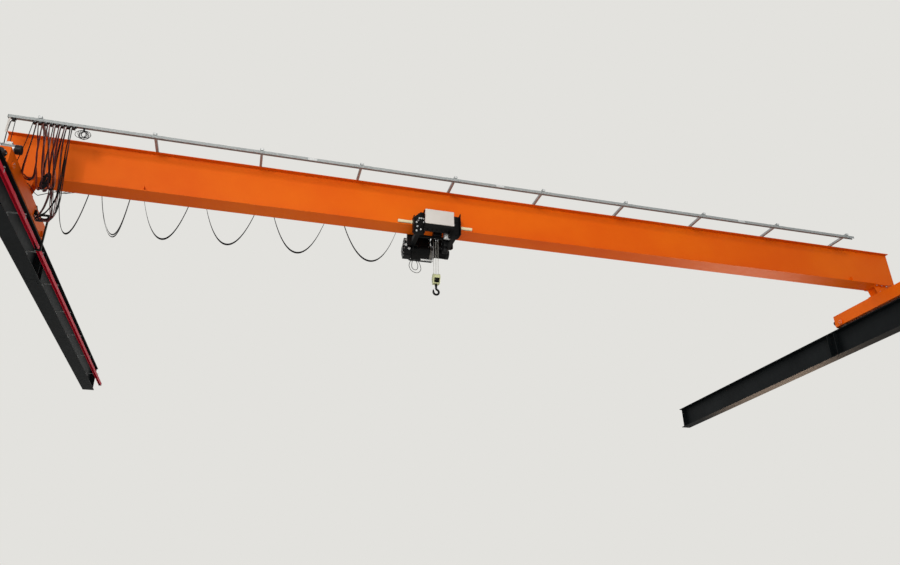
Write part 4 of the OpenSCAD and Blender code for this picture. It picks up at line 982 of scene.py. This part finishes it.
first = over_dome(-0.23, parked_dome_z, parked_r, 90, 0)[:-1]
drop = [(-0.199, parked_dome_z), (-0.185, 1.6), (-0.17, 1.25), (-0.14, 1.09), (-0.08, 1.02), (-0.02, 1.06),
        (0.01, 1.2), (0.045, 1.5), (0.075, 1.8), (0.089, parked_dome_z)]
first += smooth_line([(x, 0, z) for x, z in drop])
first += over_dome(parked_x0, parked_dome_z, parked_r, 180, 90)[1:]
folds["dark"].append(path_mesh(first, depth=0.0028, half_width=0.012, flat_plane_y=near_track_y))
for name, finish in (("brown", cable_brown), ("dark", cable_black), ("pale", cable_painted_highlight)):
    piece = joined("parked_cables_" + name, folds[name], finish, "bridge", "rubber_black")
    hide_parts("parked_cables")
print("folds:", {name: len(parts) for name, parts in folds.items()})

# %% Tied hank of spare cable
def hank_point(turn, a):
    """A point of the hank, whose turns differ in width and height."""
    wide, tall = 0.042 + 0.022 * math.sin(1.9 * turn), 0.16 + 0.022 * math.sin(2.7 * turn)
    return (0.545 + wide * math.sin(a) + 0.03 * math.cos(a), near_track_y + 0.03 * math.sin(1.3 * turn + a),
            0.87 + tall * math.cos(a))


hank_turns = 12
hank = [path_mesh(winding(hank_turns, 24, hank_point), depth=0.009)]
hank += [hoop((0.55, near_track_y, z), 0.066, 0.006) for z in (0.80, 0.93)]
joined("tied_cable_hank", hank, cable_black, "bridge")
print("hank turns:", hank_turns)

# %% Spare coil
def coil_point(turn, a):
    """A point of the loose coil that hangs on the track."""
    radius = 0.078 + 0.016 * math.sin(turn * 2.1)
    return (0.96 + radius * math.sin(a) + 0.045 * math.sin(turn * 1.3),
            near_track_y + 0.014 * math.sin(turn * 1.7) + 0.002 * turn,
            1.9693 + (radius + 0.012 * math.sin(turn * 3.1)) * math.cos(a))


coil_turns = 7
coil = path_mesh(winding(coil_turns, 28, coil_point), depth=0.005)
coil = joined("spare_cable_coil", [coil], cable_black, "bridge")
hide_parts("parked_cables")
print("coil turns:", coil_turns)

# %% Supply and drive cables
supply = path_mesh([(-0.25, -0.74, 2.07), (-0.272, -0.74, 2.02), (-0.285, -0.74, 1.8), (-0.275, -0.735, 1.5),
                    (-0.24, -0.71, 1.25), (-0.16, -0.64, 1.09), (-0.09, -0.55, 1.042), (-0.07, -0.4, 1.04),
                    (-0.1, -0.28, 1.04), (-0.135, -0.18, 1.05), (-0.14, 0.0, 1.055), (-0.135, 0.18, 1.05),
                    (-0.08, 0.3, 1.04), (0.0, 0.42, 1.04), (0.08, 0.5, 1.04), (0.13, 0.52, 1.03),
                    (0.146, 0.52, 0.97), (0.146, 0.52, 0.90)], depth=0.009)
drive_lead = path_mesh([(0.0, -1.178, 1.21), (0.0, -1.14, 1.205), (0.01, -1.08, 1.14), (0.03, -1.0, 1.06),
                        (0.05, -0.9, 1.041), (0.07, -0.6, 1.04), (0.09, -0.35, 1.04), (0.13, -0.25, 1.045),
                        (0.15, -0.1, 1.06), (0.15, 0.1, 1.08), (0.17, 0.26, 1.12), (0.3, 0.29, 1.2),
                        (0.5, 0.27, 1.27), (0.66, 0.26, 1.31), (0.7, 0.26, 1.34), (0.7, 0.26, 1.36)],
                       depth=0.007)
joined("supply_and_drive_cables", [supply, drive_lead], cable_black, "bridge")
glands = [rod((0.0, -1.182, 1.21), (0.0, -1.158, 1.21), 0.012, sides=12),
          rod((0.146, 0.52, 0.93), (0.146, 0.52, 0.90), 0.015, sides=12),
          block((0.132, 0.49, 0.86), (0.17, 0.55, 0.915), 0.004)]
joined("cable_glands_and_collector_box", glands, carrier_nylon, "bridge")
print("cables laid")

# %% [markdown]
# ## Collector
#
# A spring presses the collector's shoe up against the conductors. Copper colour shows only on
# the contact strip.

# %% Collector spring
def spring_point(turn, a):
    """A point of the collector's spring."""
    return 0.372 + 0.014 * math.cos(a), 0.52 + 0.014 * math.sin(a), 0.30 + 0.0132 * turn


spring = path_mesh(winding(14, 12, spring_point), depth=0.0022)
joined("collector_spring", [spring], zinc_bolt, "bridge", "galvanised")
shoe_bolts = bolts([(0.132, 0.49 + dy, 0.815) for dy in (0.0, 0.06)], (1, 0, 0), 0.018)
shoe_bolts += bolts([(0.29, 0.52, 0.08)], (0, 0, -1), 0.016)
hardware("collector_bolts", shoe_bolts, "bridge")
strip = [block((0.281, 0.446, 0.198), (0.299, 0.594, 0.2025), 0.0015)]
strip += [block((0.286, y, 0.1975), (0.294, y + 0.004, 0.2035), 0.001) for y in (0.47, 0.50, 0.54, 0.57)]
joined("collector_contact_strip", strip, copper, "bridge", "machined_steel")
print("collector finished")

# %% [markdown]
# ## Trolley frames and control box
#
# The plates of the trolley are black with bright bolts. The control box has an off-white cover
# with a rolled rim, which is all of its own colour that shows from the floor; its body is black as
# painted shade on the box's sides and underside.

# %% Frame bolts
frame_face = 0.2555
bright_places = [(7.541, 1.395), (7.585, 1.40), (7.479, 1.293), (7.496, 1.193), (7.477, 1.09), (7.57, 1.13)]
bright_bolts = bolts([(x, -frame_face, z) for x, z in bright_places], (0, -1, 0), 0.034)
bright_bolts += bolts([(7.6175, -0.325, 1.35), (7.6175, -0.325, 1.27)], (-1, 0, 0), 0.03)
hardware("near_frame_bolts", bright_bolts, "trolley", zinc_sheet)
dark_places = [(7.44, 1.38), (7.57, 1.21), (7.43, 1.21), (7.59, 1.50), (8.24, 1.10), (8.34, 1.10),
               (8.24, 1.21), (8.36, 1.21), (8.36, 1.42), (8.26, 1.51), (8.36, 1.51)]
dark_bolts = bolts([(x, -frame_face, z) for x, z in dark_places], (0, -1, 0), 0.03)
far_places = [(x, frame_face, z) for x in (7.45, 7.57, 8.23, 8.35) for z in (1.10, 1.21, 1.45)]
dark_bolts += bolts(far_places, (0, 1, 0), 0.03)
axle_z = 1.3243
for x in (7.51, 8.29):
    for side in (-1, 1):
        dark_bolts.append(rod((x, side * 0.256, axle_z), (x, side * 0.266, axle_z), 0.042))
        dark_bolts += bolts(ring((x, side * 0.267, axle_z), 0.033, 3, "Y", 90), (0, side, 0), 0.014)
joined("blackened_frame_bolts", dark_bolts, frame_black, "trolley", smooth=False)
print("frame bolts placed")

# %% Control box
box_x0, box_x1, box_y0, box_y1, box_z0, box_z1 = 7.605, 8.225, -0.52, -0.40, 1.15, 1.49
# Black body: painted shade for the shaded sides and underside of the box.
body = [block((box_x0 + 0.006, box_y0 + 0.02, box_z0), (box_x1 - 0.006, box_y1, box_z1 - 0.004), 0.004)]
painted_shade_shell = joined("control_box_body_painted_shade", body, machine_black, "trolley", "frame_black")
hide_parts("control_box")
clear_selection()
middle = ((box_x0 + box_x1) / 2, box_y0 + 0.012, (box_z0 + box_z1) / 2)
bpy.ops.mesh.primitive_cube_add(size=1, location=middle)
cover = bpy.context.object
cover.scale = (box_x1 - box_x0, 0.024, box_z1 - box_z0)
bpy.ops.object.transform_apply()
mode("EDIT")
bpy.ops.mesh.bevel(offset=0.008, segments=4, affect="EDGES")
mode("OBJECT")
pick_faces(cover, lambda face: face.normal.y < -0.99)
bpy.ops.mesh.inset(thickness=0.014)
bpy.ops.mesh.inset(thickness=0.003)
bpy.ops.transform.translate(value=(0, 0.0025, 0))
mode("OBJECT")
cover = joined("control_box_cover", [cover], box_white, "trolley")
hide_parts("control_box")
fittings = bolts([(x, box_y0 + 0.0005, z) for x in (box_x0 + 0.012, box_x1 - 0.012)
                  for z in (box_z0 + 0.012, box_z1 - 0.012)], (0, -1, 0), 0.009)
hinge_x, hinge_y = box_x0 + 0.001, box_y0 + 0.03
for z in (1.22, 1.40):
    fittings.append(rod((hinge_x, hinge_y, z - 0.025), (hinge_x, hinge_y, z + 0.025), 0.006, sides=12))
joined("control_box_screws_and_hinges", fittings, zinc_bolt, "trolley", "galvanised")
glands = []
for k in range(5):
    x = 7.70 + 0.1 * k
    glands.append(rod((x, -0.33, 1.078), (x, -0.33, 1.105), 0.013, sides=12))
    glands.append(rod((x, -0.33, 1.09), (x, -0.33, 1.101), 0.017, sides=6))
joined("control_box_glands", glands, carrier_nylon, "trolley")
print("control box finished")

# %% Trolley buffer collars
collars = []
bumper_z = 1.31
for x0, side in ((7.39, -1), (8.41, 1)):
    for y in (-0.2, 0.2):
        collars.append(rod((x0, y, bumper_z), (x0 + side * 0.012, y, bumper_z), 0.046, sides=32))
        collars.append(rod((x0 + side * 0.288, y, bumper_z), (x0 + side * 0.2995, y, bumper_z), 0.0362,
                           sides=32, edge=0.006))
joined("trolley_buffer_collars", collars, buffer_cream, "trolley")
print("buffer collars:", len(collars))

# %% [markdown]
# ## Hoist machinery
#
# The gear case, the drum and its motor hang on the far side. The gear case and the motor are
# black with bright bolts, and a flat zinc bar below the guard keeps the rope on the drum. Two
# small boxes hold the overload switch and the hoist's limit switch. A bare conduit runs across to
# the motor.

# %% Gear case, guard and rope guide
drum_y, drum_z = 0.55, 1.04
input_y, input_z, input_r = 0.475, 1.19, 0.075
stud_places = [(7.408, 0.381, 1.201), (7.505, 0.381, 1.151), (7.47, 0.389, 1.002), (7.40, 0.385, 1.08)]
hardware("gear_case_studs", bolts(stud_places, (0, -1, 0), 0.05), "trolley", zinc_sheet)
gear_bolts = bolts(ring((7.3435, drum_y, drum_z), 0.085, 8), (-1, 0, 0), 0.016)
gear_bolts += bolts(ring((7.3635, drum_y, drum_z), 0.145, 10, start=12), (-1, 0, 0), 0.018)
input_ring = [(7.3635, input_y + input_r * math.cos(a), input_z + input_r * math.sin(a))
              for a in (0.6, 1.6, 2.6)]
gear_bolts += bolts(input_ring, (-1, 0, 0), 0.018)
hardware("gear_case_bolts", gear_bolts, "trolley")
guard_x0, guard_x1, guard_y = 7.5395, 7.925, 0.3505
plate_end_x = 8.035
rib_xs = (guard_x0 + 0.03, guard_x1 - 0.03)
guard_parts = []
for x in rib_xs:
    guard_parts.append(block((x - 0.015, guard_y - 0.004, 1.06), (x + 0.015, guard_y + 0.001, 1.27)))
guard_parts.append(block((guard_x0, frame_face, 1.262), (guard_x1, guard_y + 0.03, 1.274)))
guard_parts.append(block((guard_x1, frame_face, 1.206), (plate_end_x, 0.2615, 1.275)))
guard_parts.append(block((guard_x1, frame_face, 1.206), (plate_end_x, 0.40, 1.212)))
guard_parts.append(block((guard_x0, guard_y - 0.003, 1.09), (guard_x1, guard_y + 0.001, 1.105)))
joined("drum_guard_ribs", guard_parts, frame_black, "trolley")
screw_places = [(x, guard_y - 0.004, z) for x in rib_xs for z in (1.075, 1.165, 1.25)]
hardware("drum_guard_screws", bolts(screw_places, (0, -1, 0), 0.014), "trolley")
guide = [block((7.747, 0.494, 0.802), (8.026, 0.502, 0.842)),
         block((8.0085, 0.49, 0.80), (8.0245, 0.53, 0.90)),
         block((7.76, 0.50, 0.828), (7.80, 0.53, 0.845))]
joined("rope_guide_bar", guide, zinc_sheet, "trolley", "galvanised")
print("gear case bolts:", len(gear_bolts))

# %% Switch boxes
overload_box = [block((7.875, -0.155, 1.0905), (8.06, -0.03, 1.232), 0.006),
                block((7.882, -0.163, 1.098), (8.053, -0.154, 1.225), 0.004)]
lid_screws = [(x, -0.163, z) for x in (7.892, 8.043) for z in (1.108, 1.215)]
overload_box += bolts(lid_screws, (0, -1, 0), 0.01)
joined("overload_switch_box", overload_box, machine_black, "trolley", "machinery_grey")
limit_box = [block((8.0405, 0.265, 1.055), (8.165, 0.375, 1.236), 0.006),
             block((8.046, 0.258, 1.062), (8.159, 0.266, 1.229), 0.004),
             block((8.0405, 0.37, 1.09), (8.056, 0.46, 1.18), 0.004),
             rod((8.10, 0.31, 1.03), (8.10, 0.31, 1.056), 0.013, sides=12)]
joined("hoist_limit_switch_box", limit_box, machine_black, "trolley", "machinery_grey")
conduit = smooth_line([(8.19, 0.062, 1.06), (8.2, 0.085, 1.05), (8.222, 0.12, 1.036), (8.223, 0.2, 1.033),
                       (8.223, 0.3, 1.033), (8.225, 0.38, 1.034), (8.228, 0.43, 1.038), (8.228, 0.448, 1.04)])
conduit_parts = [path_mesh(conduit, depth=0.010)]
for y in (0.16, 0.33):
    conduit_parts.append(block((8.21, y, 1.018), (8.242, y + 0.02, 1.048), 0.002))
conduit_parts.append(rod((8.228, 0.428, 1.038), (8.228, 0.4485, 1.04), 0.017, sides=6))
joined("motor_conduit", conduit_parts, zinc_sheet, "trolley", "galvanised")
print("switch boxes: 2")

# %% Hoist motor and travel drive
motor_parts = fan_cowl((8.3075, drum_y, drum_z), (8.3825, drum_y, drum_z), 0.109)
joined("hoist_motor_cowl", motor_parts, carrier_nylon, "trolley")
motor_parts = lid((8.123, 0.502, 1.172), (8.225, 0.598, 1.1845), 2, 1)
motor_parts.append(hoop((8.262, drum_y, 1.165), 0.022, 0.006, sides=24, turn=(math.radians(90), 0, 0)))
joined("hoist_motor_lid_and_eye", motor_parts, machine_black, "trolley", "machinery_grey")
motor_bolts = bolts(ring((8.0525, drum_y, drum_z), 0.1125, 6, start=30), (1, 0, 0), 0.014)
hardware("hoist_motor_bolts", motor_bolts, "trolley")
travel_x = 8.16
travel = fan_cowl((travel_x, 0, 0.848), (travel_x, 0, 0.7885), 0.0685)
joined("travel_motor_cowl", travel, carrier_nylon, "trolley")
travel = lid((travel_x - 0.046, -0.1045, 0.883), (travel_x + 0.046, -0.095, 0.985), 1, -1)
joined("travel_drive_lid_and_plugs", travel, machine_black, "trolley", "machinery_grey")
gear_x, gear_z = 8.18, 1.122
gear_head = [block((8.104, -0.165, 1.04), (8.256, -0.058, 1.205), 0.02),
             block((8.118, -0.182, 1.056), (8.242, -0.16, 1.19), 0.008),
             rod((gear_x, -0.178, gear_z), (gear_x, -0.21, gear_z), 0.038, sides=32),
             rod((8.13, -0.11, 1.195), (8.13, -0.11, 1.222), 0.018)]
gear_head += bolts(ring((gear_x, -0.182, gear_z), 0.058, 6, "Y", 30), (0, -1, 0), 0.013)
joined("travel_gear_head", gear_head, zinc_sheet, "trolley", "machinery_grey")
travel_bolts = bolts(ring((travel_x, 0, 1.0085), 0.0715, 4, "Z", 45), (0, 0, -1), 0.013)
travel_bolts += bolts([(x, -0.165, z) for x in (8.111, 8.249) for z in (1.07, 1.175)], (0, -1, 0), 0.013)
hardware("travel_drive_bolts", travel_bolts, "trolley")
print("motors dressed")

# %% Hoist lead cables
tie_y, lead_top = 0.667, 0.8655
loops = [
    [(7.56, lead_top), (7.555, 0.84), (7.536, 0.78), (7.532, 0.72), (7.56, 0.645), (7.62, 0.592),
     (7.70, 0.572), (7.765, 0.605), (7.795, 0.675), (7.78, 0.76), (7.752, 0.83), (7.745, lead_top)],
    [(7.60, lead_top), (7.60, 0.83), (7.592, 0.76), (7.60, 0.70), (7.635, 0.66), (7.685, 0.65), (7.72, 0.685),
     (7.73, 0.75), (7.712, 0.82), (7.705, lead_top)]]
lead_ys = (tie_y, tie_y + 0.016)
lead_parts = [path_mesh(smooth_line([(x, y, z) for x, z in loop]), depth=0.0065)
              for loop, y in zip(loops, lead_ys)]
leads = joined("hoist_lead_loops", lead_parts, cable_black, "trolley")
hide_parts("hoist_lead_cables")
lead_glands = [rod((x, y, lead_top - 0.02), (x, y, lead_top), 0.0105, sides=10)
               for loop, y in zip(loops, lead_ys) for x in (loop[0][0], loop[-1][0])]
joined("hoist_lead_glands", lead_glands, carrier_nylon, "trolley")
print("lead loops:", len(lead_parts))

# %% [markdown]
# ## Wire ropes
#
# A hoisting rope has six strands laid round a core. A curve that carries a six lobed profile and
# turns a little at each point gives the lay of the strands.

# %% Rope profile
rope_r = 0.005
rope_lay = 0.07
hook_x = 7.96
fall_shifts, fall_y = (-0.024, 0.024), 0.09
axis_z, anchor_z = 0.146, 1.0397
deflector_r, deflector_z = 0.09, 1.1053
run_z = deflector_z + deflector_r
groove_pitch = 0.012


def lobed_profile(name, radius, lobes=6, steps=18):
    """Outline of a rope with round strands, as a closed curve."""
    data = bpy.data.curves.new(name, "CURVE")
    data.dimensions = "2D"
    spline = data.splines.new("POLY")
    spline.points.add(steps - 1)
    spline.use_cyclic_u = True
    for k in range(steps):
        a = 2 * math.pi * k / steps
        r = radius * (0.91 + 0.09 * math.cos(lobes * a))
        spline.points[k].co = (r * math.cos(a), r * math.sin(a), 0, 1)
    outline = bpy.data.objects.new(name, data)
    bpy.context.scene.collection.objects.link(outline)
    return outline


rope_outline = lobed_profile("rope_outline", rope_r)


def rope(points, gap=0.009):
    """A length of wire rope along the points, with its own points at an even distance."""
    line = [Vector(points[0])]
    for a, b in zip(points, points[1:]):
        a, b = Vector(a), Vector(b)
        count = max(1, round((b - a).length / gap))
        line += [a.lerp(b, k / count) for k in range(1, count + 1)]
    return path_mesh([tuple(p) for p in line], profile=rope_outline, twist=2 * math.pi * gap / rope_lay)


print("rope lay:", rope_lay)

# %% Falls, runs and turns of rope
falls = []
for dx in fall_shifts:
    falls.append(rope([(hook_x + dx, -fall_y, anchor_z), (hook_x + dx, -fall_y, axis_z)]))
    falls.append(rope([(hook_x + dx, fall_y, deflector_z), (hook_x + dx, fall_y, axis_z)]))
fall_piece = joined("rope_falls", falls, rope_steel)
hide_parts("hoist_ropes")
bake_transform(fall_piece)
runs = []
for dx in fall_shifts:
    turn = [(hook_x + dx, fall_y + deflector_r * (1 - math.cos(a)), deflector_z + deflector_r * math.sin(a))
            for a in [math.pi / 2 * k / 12 for k in range(13)]]
    runs.append(rope(turn + [(hook_x + dx, drum_y, run_z)]))
run_piece = joined("rope_runs_to_drum", runs, rope_steel, "trolley")
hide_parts("hoist_ropes")
under = []
for dx in fall_shifts:
    under.append(rope([(hook_x + dx, -fall_y * math.cos(a), axis_z - fall_y * math.sin(a))
                       for a in [math.pi * k / 30 for k in range(31)]]))
joined("rope_under_sheaves", under, rope_steel, "hook_block")
first_turn, drum_turns, steps, wound_r = -31, 33, 40, 0.1552


def wound_point(turn, a):
    """A point of the rope in the drum's groove."""
    return (hook_x + groove_pitch * (first_turn + turn), drum_y + wound_r * math.sin(a),
            drum_z + wound_r * math.cos(a))


# The points of the rope on the drum lie 0.0244 m apart
wound = path_mesh(winding(drum_turns, steps, wound_point), profile=rope_outline,
                  twist=2 * math.pi * 0.0244 / rope_lay)
joined("rope_on_drum", [wound], rope_steel, "drum")
bpy.data.objects.remove(rope_outline)
anchors = []
for dx in fall_shifts:
    foot, head = (hook_x + dx, -fall_y, anchor_z - 0.055), (hook_x + dx, -fall_y, anchor_z - 0.002)
    anchors.append(rod(foot, head, 0.0085, sides=16, tip=0.013))
joined("rope_sockets", anchors, zinc_bolt, "trolley", "galvanised")
print("turns on the drum:", drum_turns)

# %% [markdown]
# ## Hook block and hook
#
# A plate curves round the near and far side of the sheaves so that the rope can't jump out.
# The pin is held by a keeper on each cheek. A spring latch closes the hook's throat.

# %% Sheave covers and pin keepers
def arc_plate(inner, outer, first, last, x0, x1, steps=14):
    """Curved plate round the sheave pin, from a flat strip that is bent by its points."""
    clear_selection()
    bpy.ops.mesh.primitive_grid_add(x_subdivisions=1, y_subdivisions=steps, size=1)
    strip = bpy.context.object
    for vertex in strip.data.vertices:
        a = math.radians(first + (last - first) * (vertex.co.y + 0.5))
        x = x0 if vertex.co.x < 0 else x1
        vertex.co = (x, outer * math.cos(a), axis_z + outer * math.sin(a))
    thick = strip.modifiers.new("thickness", "SOLIDIFY")
    thick.thickness = outer - inner
    thick.offset = -1
    bpy.ops.object.modifier_apply(modifier="thickness")
    mode("EDIT")
    bpy.ops.mesh.select_all(action="SELECT")
    bpy.ops.mesh.normals_make_consistent(inside=False)
    mode("OBJECT")
    return strip


half_inside, guard_r, cheek = 0.0575, 0.0985, 0.0705
covers = [arc_plate(guard_r, 0.1015, *angles, hook_x - half_inside, hook_x + half_inside)
          for angles in ((146, 192), (345, 394))]
for side in (-1, 1):
    x = hook_x + side * cheek
    covers.append(rod((x, 0, axis_z), (x + side * 0.006, 0, axis_z), 0.034, sides=32))
joined("hook_block_covers", covers, block_lime, "hook_block")
guards = [arc_plate(guard_r, 0.1012, *angles, hook_x - 0.036, hook_x + 0.036)
          for angles in ((196, 256), (284, 344))]
for dx in fall_shifts:
    for side in (-1, 1):
        x0 = hook_x + dx + side * 0.0122
        guards.append(rod((x0, 0, axis_z), (x0 + side * 0.0012, 0, axis_z), 0.0965, sides=48, edge=0.0005))
joined("sheave_guards_and_faces", guards, frame_black, "hook_block")
block_bolts = []
for side in (-1, 1):
    x = hook_x + side * cheek
    block_bolts += bolts(ring((x, 0, axis_z + 0.006), 0.078, 6, start=30), (side, 0, 0), 0.014)
    block_bolts += bolts([(x + side * 0.006, y, axis_z) for y in (-0.022, 0.022)], (side, 0, 0), 0.01)
hardware("hook_block_bolts", block_bolts, "hook_block")
print("block bolts:", len(block_bolts))

# %% Hook latch
latch_x0, latch_slope = 7.902, 0.55
latch = [block((latch_x0, -0.011, -0.102), (7.960, 0.011, -0.098), 0.001)]
for vertex in latch[0].data.vertices:
    vertex.co.z += latch_slope * (vertex.co.x - latch_x0)
latch.append(rod((7.946, -0.026, -0.079), (7.946, 0.026, -0.079), 0.005, sides=12))
joined("hook_latch", latch, zinc_bolt, "hook", "galvanised")
print("latch in place")

# %% Close
for piece_box, corners in (("cad", cad_box), ("visual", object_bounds())):
    print(piece_box, [list(map(float, corner)) for corner in corners])
